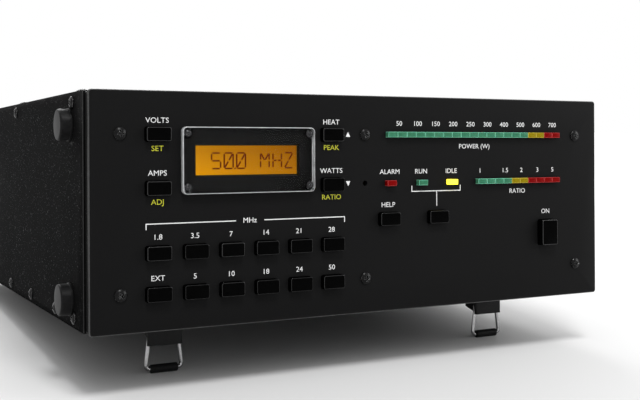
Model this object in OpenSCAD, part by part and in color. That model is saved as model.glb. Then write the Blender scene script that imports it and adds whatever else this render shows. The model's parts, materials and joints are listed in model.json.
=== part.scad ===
// Desktop HF linear amplifier, 500 W class: a low steel case with a black front panel, push buttons,
// LED bar meters and a small display, two wire tilt bails under the front and a fan at the back.
// Pieces are drawn in the case's own frame: x from the panel's left edge, y from its face into the
// case, z from its bottom edge. place() then stands the case on its bails and rear feet.

/* [Case] */
// Width of the front panel
panel_w = 272; // [244:1:300]
// Height of the front panel and the case
panel_h = 101.6; // [99:0.2:116]
// Thickness of the front panel
panel_t = 2.2; // [1.8:0.1:2.6]
// Corner radius of the front panel
panel_r = 1.5; // [0.5:0.1:3]
// Depth from the panel's face to the rear panel's face
case_d = 290; // [260:1:330]
// Thickness of the case's sheet metal
sheet_t = 1.6; // [1.2:0.1:2]
// Thickness of the rear panel
rear_t = 2; // [1.5:0.1:2.5]

/* [Front frame and board] */
// Depth of the frame between the front panel and the case
frame_d = 6.7; // [6.2:0.1:8]
// Distance that the frame stands back from the panel's edges
frame_step = 0.8; // [0.4:0.1:1.2]
// Wall of the frame
frame_wall = 2.5; // [2:0.1:4]
// Width of a lug for a panel screw
lug_w = 10; // [8:0.5:11]
// Thickness of a circuit board
board_t = 1.6; // [1:0.1:2]
// Gap between the front board and the frame
board_gap = 1.6; // [1:0.1:3]
// Margin between the front board and the case's walls
board_margin = 6; // [4:0.5:8]

/* [Panel screws] */
// Distance of the panel screws from the panel's sides
panel_screw_side = 13.2; // [11:0.2:14]
// Place of the middle panel screws from the left edge
panel_screw_mid = 130.4; // [126:0.2:132]
// Height of the lower row of panel screws
panel_screw_low = 16.2; // [14:0.2:18]
// Distance of the upper row of panel screws from the top edge
panel_screw_top = 18.3; // [16:0.2:20]
// Head radius of a case or panel screw
head_r = 2.75; // [2.4:0.05:3]
// Head height of a case or panel screw
head_h = 1.5; // [1:0.1:2]
// Shank radius of a case or panel screw
shank_r = 1.5; // [1.2:0.05:1.6]

/* [Buttons] */
// Width of a button cap
button_w = 10.8; // [9:0.1:12]
// Height of a button cap
button_h = 6; // [5:0.1:7]
// Height that a button cap stands proud of the panel
button_proud = 2.8; // [2:0.1:4]
// Corner radius of a button cap
button_r = 0.9; // [0.4:0.1:1.5]
// Travel of a button
button_travel = 0.7; // [0.3:0.1:1]
// Left column of buttons, from the panel's left edge
button_x = 29.3; // [28:0.1:30]
// Step between the six columns of band buttons
band_step = 16.62; // [15:0.02:17]
// Heights of the lower and upper rows of band buttons
band_rows = [33, 15.8]; // [14:0.1:36]
// Distances of the two rows of display buttons from the top edge
function_drops = [18.5, 41.3]; // [16:0.1:44]
// Place and height of the help button
help_at = [142.9, 43.5]; // [40:0.1:146]
// Place and height of the operate button
operate_at = [170.5, 43.6]; // [40:0.1:174]
// Distance of the power button from the panel's right edge
on_side = 34; // [32:0.1:36]
// Height of the power button's centre
on_z = 33.5; // [30:0.1:36]
// Width of the power button
on_w = 9.8; // [8:0.1:12]
// Height of the power button
on_h = 12.8; // [11:0.1:15]
// Height that the power button stands proud of the panel
on_proud = 4; // [3:0.1:6]
// Travel of the power button
on_travel = 1.2; // [0.5:0.1:1.4]

/* [Display] */
// Width of the display window
window_w = 62.9; // [56:0.1:64]
// Height of the display window
window_h = 28.8; // [27:0.1:29]
// Thickness of the display window
window_t = 3; // [2.5:0.1:4]
// Corner radius of the display window
window_r = 2; // [1:0.1:3]
// Distances of the display window's centre from the panel's left edge and from its top edge
window_in = [71.1, 29.7]; // [28:0.1:74]
// Distances of the window's screws from its sides and from its top and bottom
window_screw_in = [2.5, 2.85]; // [2.3:0.05:3.2]
// Distances of the panel's opening for the display from the window's sides and from its top and bottom
aperture_in = [6.6, 7.2]; // [6:0.1:9]
// Distance of the display's glass behind the panel's face
lcd_depth = 2.9; // [2.8:0.1:3.4]

/* [Meters] */
// Number of segments in the power meter
power_segments = 20; // [16:1:20]
// Number of segments in the match meter
match_segments = 10; // [8:1:12]
// Left end of the power meter, from the panel's left edge
meter_left = 141.8; // [140:0.1:144]
// Height of a meter segment
segment_h = 2.5; // [2:0.1:3]
// Gap between two segments
segment_gap = 0.25; // [0.2:0.05:0.5]
// Height that the segments stand proud of the panel
segment_proud = 2.3; // [1:0.1:3]
// Distance of the meters' right end from the panel's right edge
meter_side = 26; // [24:0.1:28]
// Distances of the power meter and the match meter from the top edge
meter_drops = [18.2, 41.2]; // [16:0.1:44]
// Step between the three status lamps, in meter segments
status_step = 3.38; // [3:0.02:3.6]

/* [Fasteners inside] */
// Side of a corner block, which joins two panels
block_w = 6; // [5.6:0.1:8]
// Length of a corner block
block_l = 8; // [7:0.5:10]
// Depths of the blocks along the top edges, besides the rear ones
top_blocks = [26, 146]; // [20:1:180]
// Depths of the blocks along the bottom edges, besides the rear ones
bottom_blocks = [24, 58, 110, 161]; // [20:1:180]

/* [Feet and bails] */
// Distance of each bottom foot from the case's middle
foot_x = 91.6; // [80:0.1:100]
// Distance of the bottom feet from the front and from the back
foot_y = 37.5; // [34:0.5:45]
// Height of the feet
foot_h = 12; // [10:0.5:14]
// Radius of a rear foot
rear_foot_r = 10; // [8:0.5:12]
// Width of a bail bracket
bracket_w = 16.8; // [16:0.1:18]
// Height of a bail bracket at its front
bracket_h = 12.8; // [12:0.1:14]
// Height of a bail bracket at its rear
bracket_rear_h = 10; // [9:0.1:12]
// Distance of a bail bracket's rear end behind the bail's pivot
bracket_back = 11; // [10.5:0.1:11.5]
// Thickness of the bracket's wall before the bail
bracket_wall = 1.5; // [1.2:0.1:2.5]
// Drop of the bail's pivot below the case
pivot_drop = 7.5; // [6:0.1:8]
// Length of a bail from its pivot to its cross bar
bail_l = 16.2; // [15.9:0.1:20]
// Radius of the bail's wire
wire_r = 1; // [0.8:0.05:1.2]
// Radius of the sleeve on the bail's cross bar
sleeve_r = 2; // [1.6:0.1:2.2]
// Half width of the bail at its pivot
bail_top = 6.7; // [6.6:0.1:8]
// Half width of the bail at its cross bar
bail_bottom = 8.7; // [8.7:0.1:10]
// Radius of a side foot
side_foot_r = 7.25; // [6:0.25:9]
// Height of a side foot
side_foot_h = 5.3; // [4.5:0.1:8]
// Distances of the side feet from the bottom edge and from the top edge
side_foot_edges = [11.7, 14]; // [11:0.1:16]
// Distance of the side feet from the front and from the back
side_foot_y = 32; // [28:0.5:40]

/* [Handle] */
// Distance between the middles of the handle's end caps
handle_span = 170; // [150:1:190]
// Width of the handle's strap
strap_w = 22; // [18:0.5:26]
// Thickness of the strap
strap_t = 3; // [2.5:0.1:4]
// Gap between the case and the ends of the strap
strap_off = 2.5; // [2:0.1:4]
// Bow of the strap away from the case at its middle
strap_bow = 7; // [5:0.5:9]
// Length of an end cap
cap_l = 30; // [26:0.5:34]

/* [Rear panel] */
// Gap between the square fan and the case's top and bottom
fan_gap = 4.8; // [4:0.1:8]
// Depth of the fan
fan_depth = 25; // [20:0.5:28]
// Distance of the fan's screws from its sides
fan_screw_in = 4.75; // [4:0.05:5.5]
// Distance of the fan's axis from the panel's right side
fan_side = 66; // [60:0.5:70]
// Places of the two antenna sockets, as shares of the room beside the fan
rf_across = [0.6125, 0.825]; // [0.6:0.0025:0.85]
// Height of the antenna sockets
rf_z = 76; // [70:0.5:80]
// Radius over the thread of an antenna socket
rf_thread_r = 7.94; // [7.5:0.01:8]
// Length of an antenna socket's barrel
rf_length = 12; // [10:0.5:14]
// Side of an antenna socket's square flange
rf_flange = 25.4; // [24:0.2:27]
// Place of the keying socket, as a share of the room beside the fan
key_across = 0.175; // [0.1:0.0025:0.2]
// Height of the keying socket
key_z = 82; // [70:0.5:86]
// Place of the two data sockets, as a share of the room beside the fan
data_across = 0.3875; // [0.38:0.0025:0.4]
// Heights of the two data sockets
data_rows = [84, 64]; // [60:0.5:86]
// Place of the mains inlet, as a share of the room beside the fan
inlet_across = 0.225; // [0.2:0.0025:0.24]
// Place of the mains switch, as a share of the room beside the fan
rocker_across = 0.5125; // [0.5:0.0025:0.52]
// Height of the mains inlet and the mains switch
power_z = 30; // [26:0.5:34]
// Width and height of the mains inlet's flange
inlet_size = [50, 28]; // [26:0.5:52]
// Width and height of the mains switch's opening
rocker_hole = [12.8, 19]; // [12:0.1:20]
// Place of the ground post, as a share of the room beside the fan
ground_across = 0.6875; // [0.65:0.0025:0.72]
// Height of the ground post
ground_z = 28; // [24:0.5:34]
// Radius of the ground post's thread
ground_r = 3; // [2.5:0.1:3.5]
// Length of the ground post behind the rear panel
ground_l = 18; // [16:0.5:20]

/* [Inside] */
// Gap between the mains transformer and the two sides of its bay
transformer_side = 14.2; // [14:0.2:20]
// Gap between the front board and the mains transformer
transformer_front = 26; // [24:0.5:30]
// Height of the mains transformer
transformer_h = 60; // [40:1:62]
// Distance of the heat sink's right side from the panel's right side
sink_side = 10; // [10:0.5:14]
// Width of the heat sink, as a share of the panel's width
sink_share = 0.412; // [0.38:0.002:0.42]
// Distance of the heat sink's front end from the panel's face
sink_front = 62; // [50:1:70]
// Gap between the heat sink and the fan
sink_gap = 31; // [20:0.5:40]
// Height of the heat sink's fins
fin_h = 44; // [35:0.5:50]
// Thickness of the heat sink's base
sink_base = 8; // [6:0.5:10]
// Number of fins
fin_count = 14; // [10:1:16]
// Gap between the supply board and the two sides of its bay
supply_side = 18; // [16:0.5:24]
// Gap between the supply board and the transformer
supply_front = 2; // [2:0.5:6]
// Gap between the supply board and the rear panel
supply_rear = 48; // [46:1:60]
// Height of the supply board above the case's bottom
supply_z = 8; // [6:0.5:10]
// Gap between the filter board and the two sides of its bay
filter_side = 5; // [4:0.5:8]
// Distance of the filter board's front edge behind the transformer
filter_front = 28; // [4:1:40]
// Gap between the filter board and the rear panel
filter_rear = 24; // [20:1:30]
// Height of the filter board above the case's bottom
filter_z = 62; // [56:0.5:66]
// Number of main filter capacitors along the supply board
capacitor_count = 4; // [3:1:5]
// Gap between two filter capacitors
capacitor_gap = 2; // [1:0.5:6]
// Height of a filter capacitor
capacitor_h = 42; // [30:0.5:44]

/* [Hidden] */
$fn = 48;
FUNCTIONS = ["volts_button", "amps_button", "heat_button", "watts_button"];

eps = 0.01;
slip = 0.3;             // gap round a part that slides in a hole
fit = 0.1;              // gap round a screw's shank
run = 0.05;             // radial gap of a running fit

frame_back = panel_t + frame_d;
board_front = frame_back + board_gap;
board_back = board_front + board_t;
rear_in = case_d - rear_t;
panel_screw_x = [panel_screw_side, panel_screw_mid, panel_w - panel_screw_side - 1];
panel_screw_z = [panel_screw_low, panel_h - panel_screw_top];
nut_h = 2;

flange_t = 0.8;         // lip that keeps a button behind the panel
flange_lip = 1;         // width of that lip round the cap
flange_front = panel_t + slip;
switch_w = 6;           // side of a push switch on the board
switch_h = 3.6;
switch_front = board_front - switch_h;
stem_r = 1.5;
stem_in = 0.3;          // how far a button's stem already sits in its switch
on_at = [panel_w - on_side, on_z];
function_x = [button_x, button_x + 5 * band_step];
function_rows = [for (drop = function_drops) panel_h - drop];
function_places = [[function_x[0], function_rows[0]], [function_x[0], function_rows[1]],
                   [function_x[1], function_rows[0]], [function_x[1], function_rows[1]]];
band_places = [for (row = band_rows, i = [0:5]) [button_x + i * band_step, row]];
small_places = concat(band_places, function_places, [help_at, operate_at]);

meter_right = panel_w - meter_side;
meter_rows = [for (drop = meter_drops) panel_h - drop];
segment_step = (meter_right - meter_left) / power_segments;
match_left = meter_right - match_segments * segment_step;
status_places = [for (i = [0:2]) [meter_left + (0.4 + i * status_step) * segment_step, meter_rows[1]]];
led_shoulder = 1;       // how far behind the panel an LED narrows to its leads
power_green = 16;
power_yellow = 18;
match_green = 4;
match_yellow = 6;
pinhole_at = [130.3, panel_h - 41];
pinhole_r = 1.25;

window_at = [window_in[0], panel_h - window_in[1]];
window_screw_r = 1;
window_head_r = 1.9;
window_head_h = 1.2;
window_screws = [window_w - 2 * window_screw_in[0], window_h - 2 * window_screw_in[1]];
aperture_w = window_w - 2 * aperture_in[0];
aperture_h = window_h - 2 * aperture_in[1];
lcd_margin = 5.4;       // width of the display's frame round the opening

block_in = sheet_t + block_w / 2;       // a corner block's screws, from the case's outside
rear_block = rear_in - block_l / 2;
block_x = [block_in, panel_w - block_in];
block_rows = [[block_in, bottom_blocks], [panel_h - block_in, top_blocks]];
block_screw_l = sheet_t + block_w / 2 - shank_r - 0.2;
rear_screw_l = rear_t + block_l / 2 - shank_r - 0.2;

bar_z = -pivot_drop - bail_l;
rear_foot_y = case_d - foot_y;
bracket_x = [panel_w / 2 - foot_x, panel_w / 2 + foot_x];
elbow = 1.04;           // swell of a wire's elbow
core_w = 2 * (bail_top - elbow * wire_r - slip);    // the bracket's middle, between the bail's legs
bracket_front = wire_r + slip + bracket_wall;       // how far the bracket reaches before the pivot
bracket_r = 1.2;
bracket_screw = 6.5;    // distance of a bracket's screw behind its pivot
pin_l = 2.5;            // how far a bail's pin reaches into the bracket
feet_seat = -5;         // height of the seat of a screw in a foot or bracket
feet_head_r = 3;
side_foot_z = [side_foot_edges[0], panel_h - side_foot_edges[1]];
side_foot_places = [for (y = [side_foot_y, case_d - side_foot_y], z = side_foot_z) [y, z]];
side_foot_rim = 0.8;    // height of a side foot's rim
side_foot_step = 0.3;   // how far the disc stands back from its rim
side_foot_round = 0.9;
stud_r = 2.3;           // head of the stud that holds a side foot in the panel
stud_h = 1.5;

handle_y = (frame_back + rear_in) / 2;
handle_z = panel_h / 2;
cap_h = strap_w + 6;
cap_r = 4;
cap_out = strap_off + strap_t + 3;
cap_screw = 6;          // a cap's screw, from the cap's outer end
cap_screw_y = [for (s = [-1, 1]) handle_y + s * (handle_span / 2 + cap_l / 2 - cap_screw)];

fan_at = [panel_w - fan_side, panel_h / 2];
fan_size = panel_h - 2 * fan_gap;
fan_pitch = fan_size - 2 * fan_screw_in;
fan_hole = fan_size / 2 - 2;
fan_front = rear_in - fan_depth;
hub_r = 19;
mount_t = 4;            // thickness of the disc that carries the fan's motor
guard_wire = 1.1;
guard_rings = [16, 26, 36, fan_hole + 1];

rear_room = panel_w - fan_side - fan_size / 2;     // room beside the fan
rf_places = [for (across = rf_across) [across * rear_room, rf_z]];
key_place = [key_across * rear_room, key_z];
data_places = [for (z = data_rows) [data_across * rear_room, z]];
data_flange = [31, 12.5];
data_jack = 12.5;       // distance of a data socket's screws from its middle
inlet_place = [inlet_across * rear_room, power_z];
drawer_place = inlet_place + [13, 0];
socket_place = inlet_place - [9, 0];
socket_size = [24, 16.5];
socket_deep = 15;
inlet_deep = 22;        // how far the inlet reaches into the case
drawer_size = [9, 19];
rocker_place = [rocker_across * rear_room, power_z];
ground_place = [ground_across * rear_room, ground_z];
rocker_pivot = case_d - 1.5;
rocker_r = 8;
rocker_w = 9.6;
rocker_lean = 9;        // how far the rocker leans in its off position

sink_w = sink_share * panel_w;
sink_x = panel_w - sink_side - sink_w;
sink_l = fan_front - sink_gap - sink_front;
sink_top = sheet_t + fin_h + sink_base;
bay = [sheet_t, sink_x];                            // the room beside the heat sink
transformer_r = (bay[1] - bay[0]) / 2 - transformer_side;
transformer_at = [(bay[0] + bay[1]) / 2, board_back + transformer_front + transformer_r];
transformer_back = transformer_at[1] + transformer_r;
winding_r = 18;         // bore of the transformer's winding
washer_r = 34;          // washer that clamps the winding down
supply_x = [bay[0] + supply_side, bay[1] - supply_side];
supply_y = [transformer_back + supply_front, rear_in - supply_rear];
filter_x = [bay[0] + filter_side, bay[1] - filter_side];
filter_y = [transformer_back + filter_front, rear_in - filter_rear];
post_r = 3;             // spacer under a corner of a board
post_in = 5;            // distance of a spacer from the board's edges

// The case leans back until the sleeves of its bails and the back edges of its rear feet share one floor
rear_edge = [rear_foot_y + rear_foot_r, -foot_h];
drop = bar_z - rear_edge[1];
reach = rear_edge[0] - foot_y;
tilt = atan2(reach, drop) - acos(sleeve_r / norm([reach, drop]));
lift = -(rear_edge[1] * cos(tilt) - rear_edge[0] * sin(tilt));
front_end = -on_proud * cos(tilt) + (on_z - on_h / 2) * sin(tilt);
rear_end = (case_d + ground_l) * cos(tilt) + (ground_place[1] + ground_r) * sin(tilt);
rf_end = (case_d + rf_length + 2) * cos(tilt) + (rf_places[0][1] + rf_thread_r) * sin(tilt);
centre_x = (panel_w + strap_off + strap_bow + strap_t - side_foot_h) / 2;
centre_y = (front_end + max(rear_end, rf_end)) / 2;

// Carries a shape from the case's frame to the standing part's frame
module place() {
    translate([-centre_x, -centre_y, lift]) rotate([-tilt, 0, 0]) children();
}

// A flat outline in x and z, made a plate from one depth to another
module plate(front, back) {
    translate([0, back, 0]) rotate([90, 0, 0]) linear_extrude(back - front) children();
}

// An upright block from one corner to the opposite one
module block(low, high) {
    translate(low) cube(high - low);
}

module rounded(at, w, h, r) {
    translate(at) {
        square([w - 2 * r, h], center = true);
        square([w, h - 2 * r], center = true);
        for (x = [-1, 1], y = [-1, 1]) translate([x * (w / 2 - r), y * (h / 2 - r)]) circle(r);
    }
}

module dot(at, r) {
    translate(at) circle(r);
}

module facing_front(at, y = 0) {
    translate([at[0], y, at[1]]) rotate([90, 0, 0]) children();
}

module facing_back(at, y = case_d) {
    translate([at[0], y, at[1]]) rotate([-90, 0, 0]) children();
}

module facing_left(y, z, x = 0) {
    translate([x, y, z]) rotate([0, -90, 0]) children();
}

module facing_right(y, z, x = panel_w) {
    translate([x, y, z]) rotate([0, 90, 0]) children();
}

// A rod along y
module rod(at, front, back, r) {
    translate([at[0], back, at[1]]) rotate([90, 0, 0]) cylinder(h = back - front, r = r);
}

// A cross-head screw with its seat at z = 0 and its head above
module screw(length, r = head_r, h = head_h, shank = shank_r) {
    difference() {
        union() {
            cylinder(h = 0.55 * h, r = r);
            translate([0, 0, 0.55 * h]) cylinder(h = 0.45 * h, r1 = r, r2 = 0.72 * r);
        }
        for (turn = [0, 90]) rotate(turn) translate([-0.55 * r, -0.13 * r, 0.35 * h])
            cube([1.1 * r, 0.26 * r, h]);
    }
    translate([0, 0, -length]) cylinder(h = length, r = shank);
}

// ---- Front panel and what shows on it ----

module front_panel() {
    color("#202022") place() difference() {
        plate(0, panel_t) rounded([panel_w / 2, panel_h / 2], panel_w, panel_h, panel_r);
        plate(-1, panel_t + 1) {
            for (at = small_places)
                rounded(at, button_w + 2 * slip, button_h + 2 * slip, button_r + slip);
            rounded(on_at, on_w + 2 * slip, on_h + 2 * slip, button_r + slip);
            translate([meter_left - slip / 2, meter_rows[0] - segment_h / 2 - slip / 2])
                square([power_segments * segment_step + slip, segment_h + slip]);
            translate([match_left - slip / 2, meter_rows[1] - segment_h / 2 - slip / 2])
                square([match_segments * segment_step + slip, segment_h + slip]);
            for (at = status_places) translate(at)
                square([segment_step + slip, segment_h + slip], center = true);
            translate(window_at) square([aperture_w, aperture_h], center = true);
            dot(pinhole_at, pinhole_r);
            for (x = panel_screw_x, z = panel_screw_z) dot([x, z], shank_r + fit);
            for (x = [-0.5, 0.5], z = [-0.5, 0.5])
                dot(window_at + [x * window_screws[0], z * window_screws[1]], window_screw_r + fit);
        }
    }
}

// The panel's outline, drawn in by a margin on every side
module sheet_outline(margin) {
    translate([margin, margin]) square([panel_w - 2 * margin, panel_h - 2 * margin]);
}

module front_frame() {
    color("#2a2a2c") place() {
        plate(panel_t, frame_back) difference() {
            union() {
                difference() {
                    sheet_outline(frame_step);
                    sheet_outline(frame_step + frame_wall);
                }
                for (x = panel_screw_x) {
                    translate([x - lug_w / 2, frame_step])
                        square([lug_w, panel_screw_z[0] + lug_w / 2 - frame_step]);
                    translate([x - lug_w / 2, panel_screw_z[1] - lug_w / 2])
                        square([lug_w, panel_h - frame_step - panel_screw_z[1] + lug_w / 2]);
                }
            }
            for (x = panel_screw_x, z = panel_screw_z) dot([x, z], shank_r + fit);
        }
        for (x = panel_screw_x, z = panel_screw_z) plate(frame_back, board_front) difference() {
            dot([x, z], lug_w / 4);
            dot([x, z], shank_r + fit);
        }
    }
}

module front_screws() {
    color("#161617") place() {
        for (x = panel_screw_x, z = panel_screw_z) {
            facing_front([x, z]) screw(board_back + nut_h + 0.5);
            difference() {
                facing_back([x, z], board_back) cylinder(h = nut_h, r = 3.1, $fn = 6);
                rod([x, z], board_back - 1, board_back + nut_h + 1, shank_r + eps);
            }
        }
        for (x = [-0.5, 0.5], z = [-0.5, 0.5])
            facing_front(window_at + [x * window_screws[0], z * window_screws[1]], window_head_h - window_t)
                screw(window_t - window_head_h + panel_t + 0.6, window_head_r, window_head_h, window_screw_r);
    }
}

module display_window() {
    color([0.85, 0.88, 0.9, 0.4]) place() difference() {
        plate(-window_t, 0) rounded(window_at, window_w, window_h, window_r);
        for (x = [-0.5, 0.5], z = [-0.5, 0.5]) {
            at = window_at + [x * window_screws[0], z * window_screws[1]];
            rod(at, -window_t - 1, window_head_h - window_t, window_head_r + fit);
            rod(at, -window_t - 1, 1, window_screw_r + fit);
        }
    }
}

module lcd_module() {
    color("#e19a12") place() plate(lcd_depth, board_front) translate(window_at)
        square([aperture_w + 2 * lcd_margin, aperture_h + 2 * lcd_margin], center = true);
}

module front_board() {
    color("#1d5b34") place() {
        plate(board_front, board_back) difference() {
            sheet_outline(board_margin);
            for (x = panel_screw_x, z = panel_screw_z) dot([x, z], shank_r + fit);
        }
        block([0.57 * panel_w, board_back, 0.5 * panel_h], [0.76 * panel_w, board_back + 8, 0.59 * panel_h]);
        block([0.63 * panel_w, board_back, 0.26 * panel_h],
              [0.68 * panel_w, board_back + board_t, 0.4 * panel_h]);
    }
}

// A push switch on the board, with room for a button's stem to travel
module tact_switch(at, travel) {
    difference() {
        plate(switch_front, board_front) translate(at) square(switch_w, center = true);
        rod(at, switch_front - 1, switch_front + stem_in + travel + slip, stem_r + slip);
    }
}

module tact_switches() {
    color("#303034") place() {
        for (at = small_places) tact_switch(at, button_travel);
        tact_switch(on_at, on_travel);
    }
}

// One rectangular LED that reaches from the board through the panel
module led(at) {
    plate(-segment_proud, panel_t + led_shoulder) translate(at)
        square([segment_step - segment_gap, segment_h], center = true);
    plate(panel_t + led_shoulder, board_front) translate(at)
        square([0.35 * segment_step, 0.8 * segment_h], center = true);
}

// The LEDs from one number to the next in a meter that starts at x
module led_row(x, row, from, to) {
    for (i = [from:1:to - 1]) led([x + (i + 0.5) * segment_step, meter_rows[row]]);
}

module green_leds() {
    color("#1f9a2c") place() {
        led_row(meter_left, 0, 0, min(power_green, power_segments));
        led_row(match_left, 1, 0, match_green);
        led(status_places[1]);
    }
}

module yellow_leds() {
    color("#d8c21a") place() {
        led_row(meter_left, 0, power_green, min(power_yellow, power_segments));
        led_row(match_left, 1, match_green, match_yellow);
        led(status_places[2]);
    }
}

module red_leds() {
    color("#a31515") place() {
        led_row(meter_left, 0, power_yellow, power_segments);
        led_row(match_left, 1, match_yellow, match_segments);
        led(status_places[0]);
    }
}

// A push button: its cap through the panel, its lip behind it and its stem in the switch
module push_button(at, w, h, proud) {
    color("#0d0d0e") place() {
        plate(-proud, flange_front) rounded(at, w, h, button_r);
        plate(flange_front, flange_front + flange_t)
            rounded(at, w + 2 * flange_lip, h + 2 * flange_lip, button_r);
        rod(at, flange_front + flange_t, switch_front + stem_in, stem_r);
    }
}

module on_button() push_button(on_at, on_w, on_h, on_proud);
module help_button() push_button(help_at, button_w, button_h, button_proud);
module operate_button() push_button(operate_at, button_w, button_h, button_proud);
module function_button(i) push_button(function_places[i], button_w, button_h, button_proud);
module band_button(i) push_button(band_places[i - 1], button_w, button_h, button_proud);

// ---- Case ----

// Cuts for the screws of the blocks along one bottom or top edge
module block_holes(ys) {
    for (x = block_x, y = concat(ys, [rear_block]))
        translate([x, y, -1]) cylinder(h = panel_h + 2, r = shank_r + fit);
}

module bottom_panel() {
    color("#26262a") place() difference() {
        block([sheet_t, frame_back, 0], [panel_w - sheet_t, rear_in, sheet_t]);
        block_holes(bottom_blocks);
        for (x = bracket_x, y = [foot_y, foot_y + bracket_screw, rear_foot_y]) translate([x, y, -1])
            cylinder(h = sheet_t + 2, r = shank_r + fit);
        translate([transformer_at[0], transformer_at[1], -1]) cylinder(h = sheet_t + 2, r = 4 + fit);
    }
}

module top_cover() {
    vent_w = 3.2;
    vent_l = 36;
    vent_step = 8;
    vents = floor((sink_w - 16) / vent_step);
    color("#26262a") place() difference() {
        block([sheet_t, frame_back, panel_h - sheet_t], [panel_w - sheet_t, rear_in, panel_h]);
        block_holes(top_blocks);
        for (i = [0:vents - 1], row = [0:1]) {
            x = sink_x + (sink_w - (vents - 1) * vent_step) / 2 + i * vent_step;
            y = sink_front + 30 + row * (vent_l + 14);
            translate([x, y, panel_h - sheet_t - 1]) linear_extrude(sheet_t + 2)
                rounded([0, vent_l / 2], vent_w, vent_l, vent_w / 2 - eps);
        }
    }
}

// A side panel against one side of the case, with the holes for its blocks' screws
module side_sheet(x) {
    difference() {
        block([x, frame_back, 0], [x + sheet_t, rear_in, panel_h]);
        for (row = block_rows, y = concat(row[1], [rear_block]))
            translate([x - 1, y, row[0]]) rotate([0, 90, 0]) cylinder(h = sheet_t + 2, r = shank_r + fit);
        children();
    }
}

module left_side_panel() {
    color("#2a2a2d") place() side_sheet(0) {
        for (at = side_foot_places) translate([-1, at[0], at[1]]) rotate([0, 90, 0])
            cylinder(h = sheet_t + 2, r = shank_r + fit);
    }
}

module right_side_panel() {
    color("#2a2a2d") place() side_sheet(panel_w - sheet_t) {
        for (y = cap_screw_y) facing_right(y, handle_z, panel_w - sheet_t - 1)
            cylinder(h = sheet_t + 2, r = shank_r + fit);
    }
}

// The D-shaped outline of a data socket's shell
module d_outline(at, grow = 0) {
    translate(at) polygon([[-8.5 - grow, 4.2 + grow], [8.5 + grow, 4.2 + grow],
                           [7.1 + grow, -4.2 - grow], [-7.1 - grow, -4.2 - grow]]);
}

module rear_panel() {
    color("#232326") place() difference() {
        plate(rear_in, case_d) rounded([panel_w / 2, panel_h / 2], panel_w, panel_h, panel_r);
        plate(rear_in - 1, case_d + 1) {
            dot(fan_at, fan_hole);
            for (x = [-0.5, 0.5], z = [-0.5, 0.5]) dot(fan_at + fan_pitch * [x, z], shank_r + fit);
            for (at = rf_places) dot(at, rf_thread_r + slip);
            dot(key_place, 4.2 + slip);
            for (at = data_places) {
                d_outline(at, slip);
                for (x = [-1, 1]) dot(at + [x * data_jack, 0], shank_r + fit);
            }
            translate(inlet_place) square(inlet_size - [5, 5], center = true);
            translate(rocker_place) square(rocker_hole + slip * [1, 1], center = true);
            dot(ground_place, ground_r + fit);
            for (x = block_x, z = [block_in, panel_h - block_in]) dot([x, z], shank_r + fit);
        }
    }
}

module corner_blocks() {
    color("#b9bbbe") place() for (x = block_x, row = block_rows, y = concat(row[1], [rear_block]))
        difference() {
            translate([x, y, row[0]]) cube([block_w, block_l, block_w], center = true);
            translate([x, y, 0]) cylinder(h = panel_h, r = shank_r + fit);
            translate([0, y, row[0]]) rotate([0, 90, 0]) cylinder(h = panel_w, r = shank_r + fit);
            if (y == rear_block) rod([x, row[0]], y, y + block_l, shank_r + fit);
        }
}

module case_screws() {
    color("#18181a") place() {
        for (row = block_rows, y = concat(row[1], [rear_block])) {
            facing_left(y, row[0]) screw(block_screw_l);
            facing_right(y, row[0]) screw(block_screw_l);
        }
        for (x = block_x) {
            for (y = concat(top_blocks, [rear_block])) translate([x, y, panel_h]) screw(block_screw_l);
            for (y = concat(bottom_blocks, [rear_block]))
                translate([x, y, 0]) rotate([180, 0, 0]) screw(block_screw_l);
            for (z = [block_in, panel_h - block_in]) facing_back([x, z]) screw(rear_screw_l);
        }
        for (y = cap_screw_y) facing_right(y, handle_z, panel_w + cap_out) screw(cap_out + sheet_t + nut_h);
        for (at = data_places, x = [-1, 1]) facing_back(at + [x * data_jack, 0], case_d + 1.2)
            cylinder(h = 5, r = 2.6, $fn = 6);
        for (x = [-0.5, 0.5], z = [-0.5, 0.5])
            facing_back(fan_at + fan_pitch * [x, z], case_d + guard_wire) screw(rear_t + 8);
        for (x = bracket_x, y = [foot_y + bracket_screw, rear_foot_y]) translate([x, y, feet_seat])
            rotate([180, 0, 0]) screw(sheet_t + nut_h - feet_seat);
    }
}

// ---- Feet, bails and handle ----

// Rubber discs, each pushed into the side panel by its stud
module side_feet() {
    disc_r = side_foot_r - side_foot_step;
    bend = [disc_r - side_foot_round, side_foot_h - side_foot_round];
    color("#2c2c2e") place() for (at = side_foot_places) facing_left(at[0], at[1])
        rotate_extrude() polygon(concat(
            [[0, -sheet_t - fit - stud_h], [stud_r, -sheet_t - fit - stud_h], [stud_r, -sheet_t - fit],
             [shank_r, -sheet_t - fit], [shank_r, 0], [side_foot_r, 0], [side_foot_r, side_foot_rim],
             [disc_r, side_foot_rim]],
            [for (a = [0:15:90]) bend + side_foot_round * [cos(a), sin(a)]],
            [[0, side_foot_h]]));
}

// Cuts for a screw from below, in a bracket or foot, with its head inside
module sunk_screw_hole() {
    translate([0, 0, feet_seat - foot_h]) cylinder(h = foot_h, r = feet_head_r);
    translate([0, 0, -foot_h]) cylinder(h = foot_h + 1, r = shank_r + fit);
}

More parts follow.
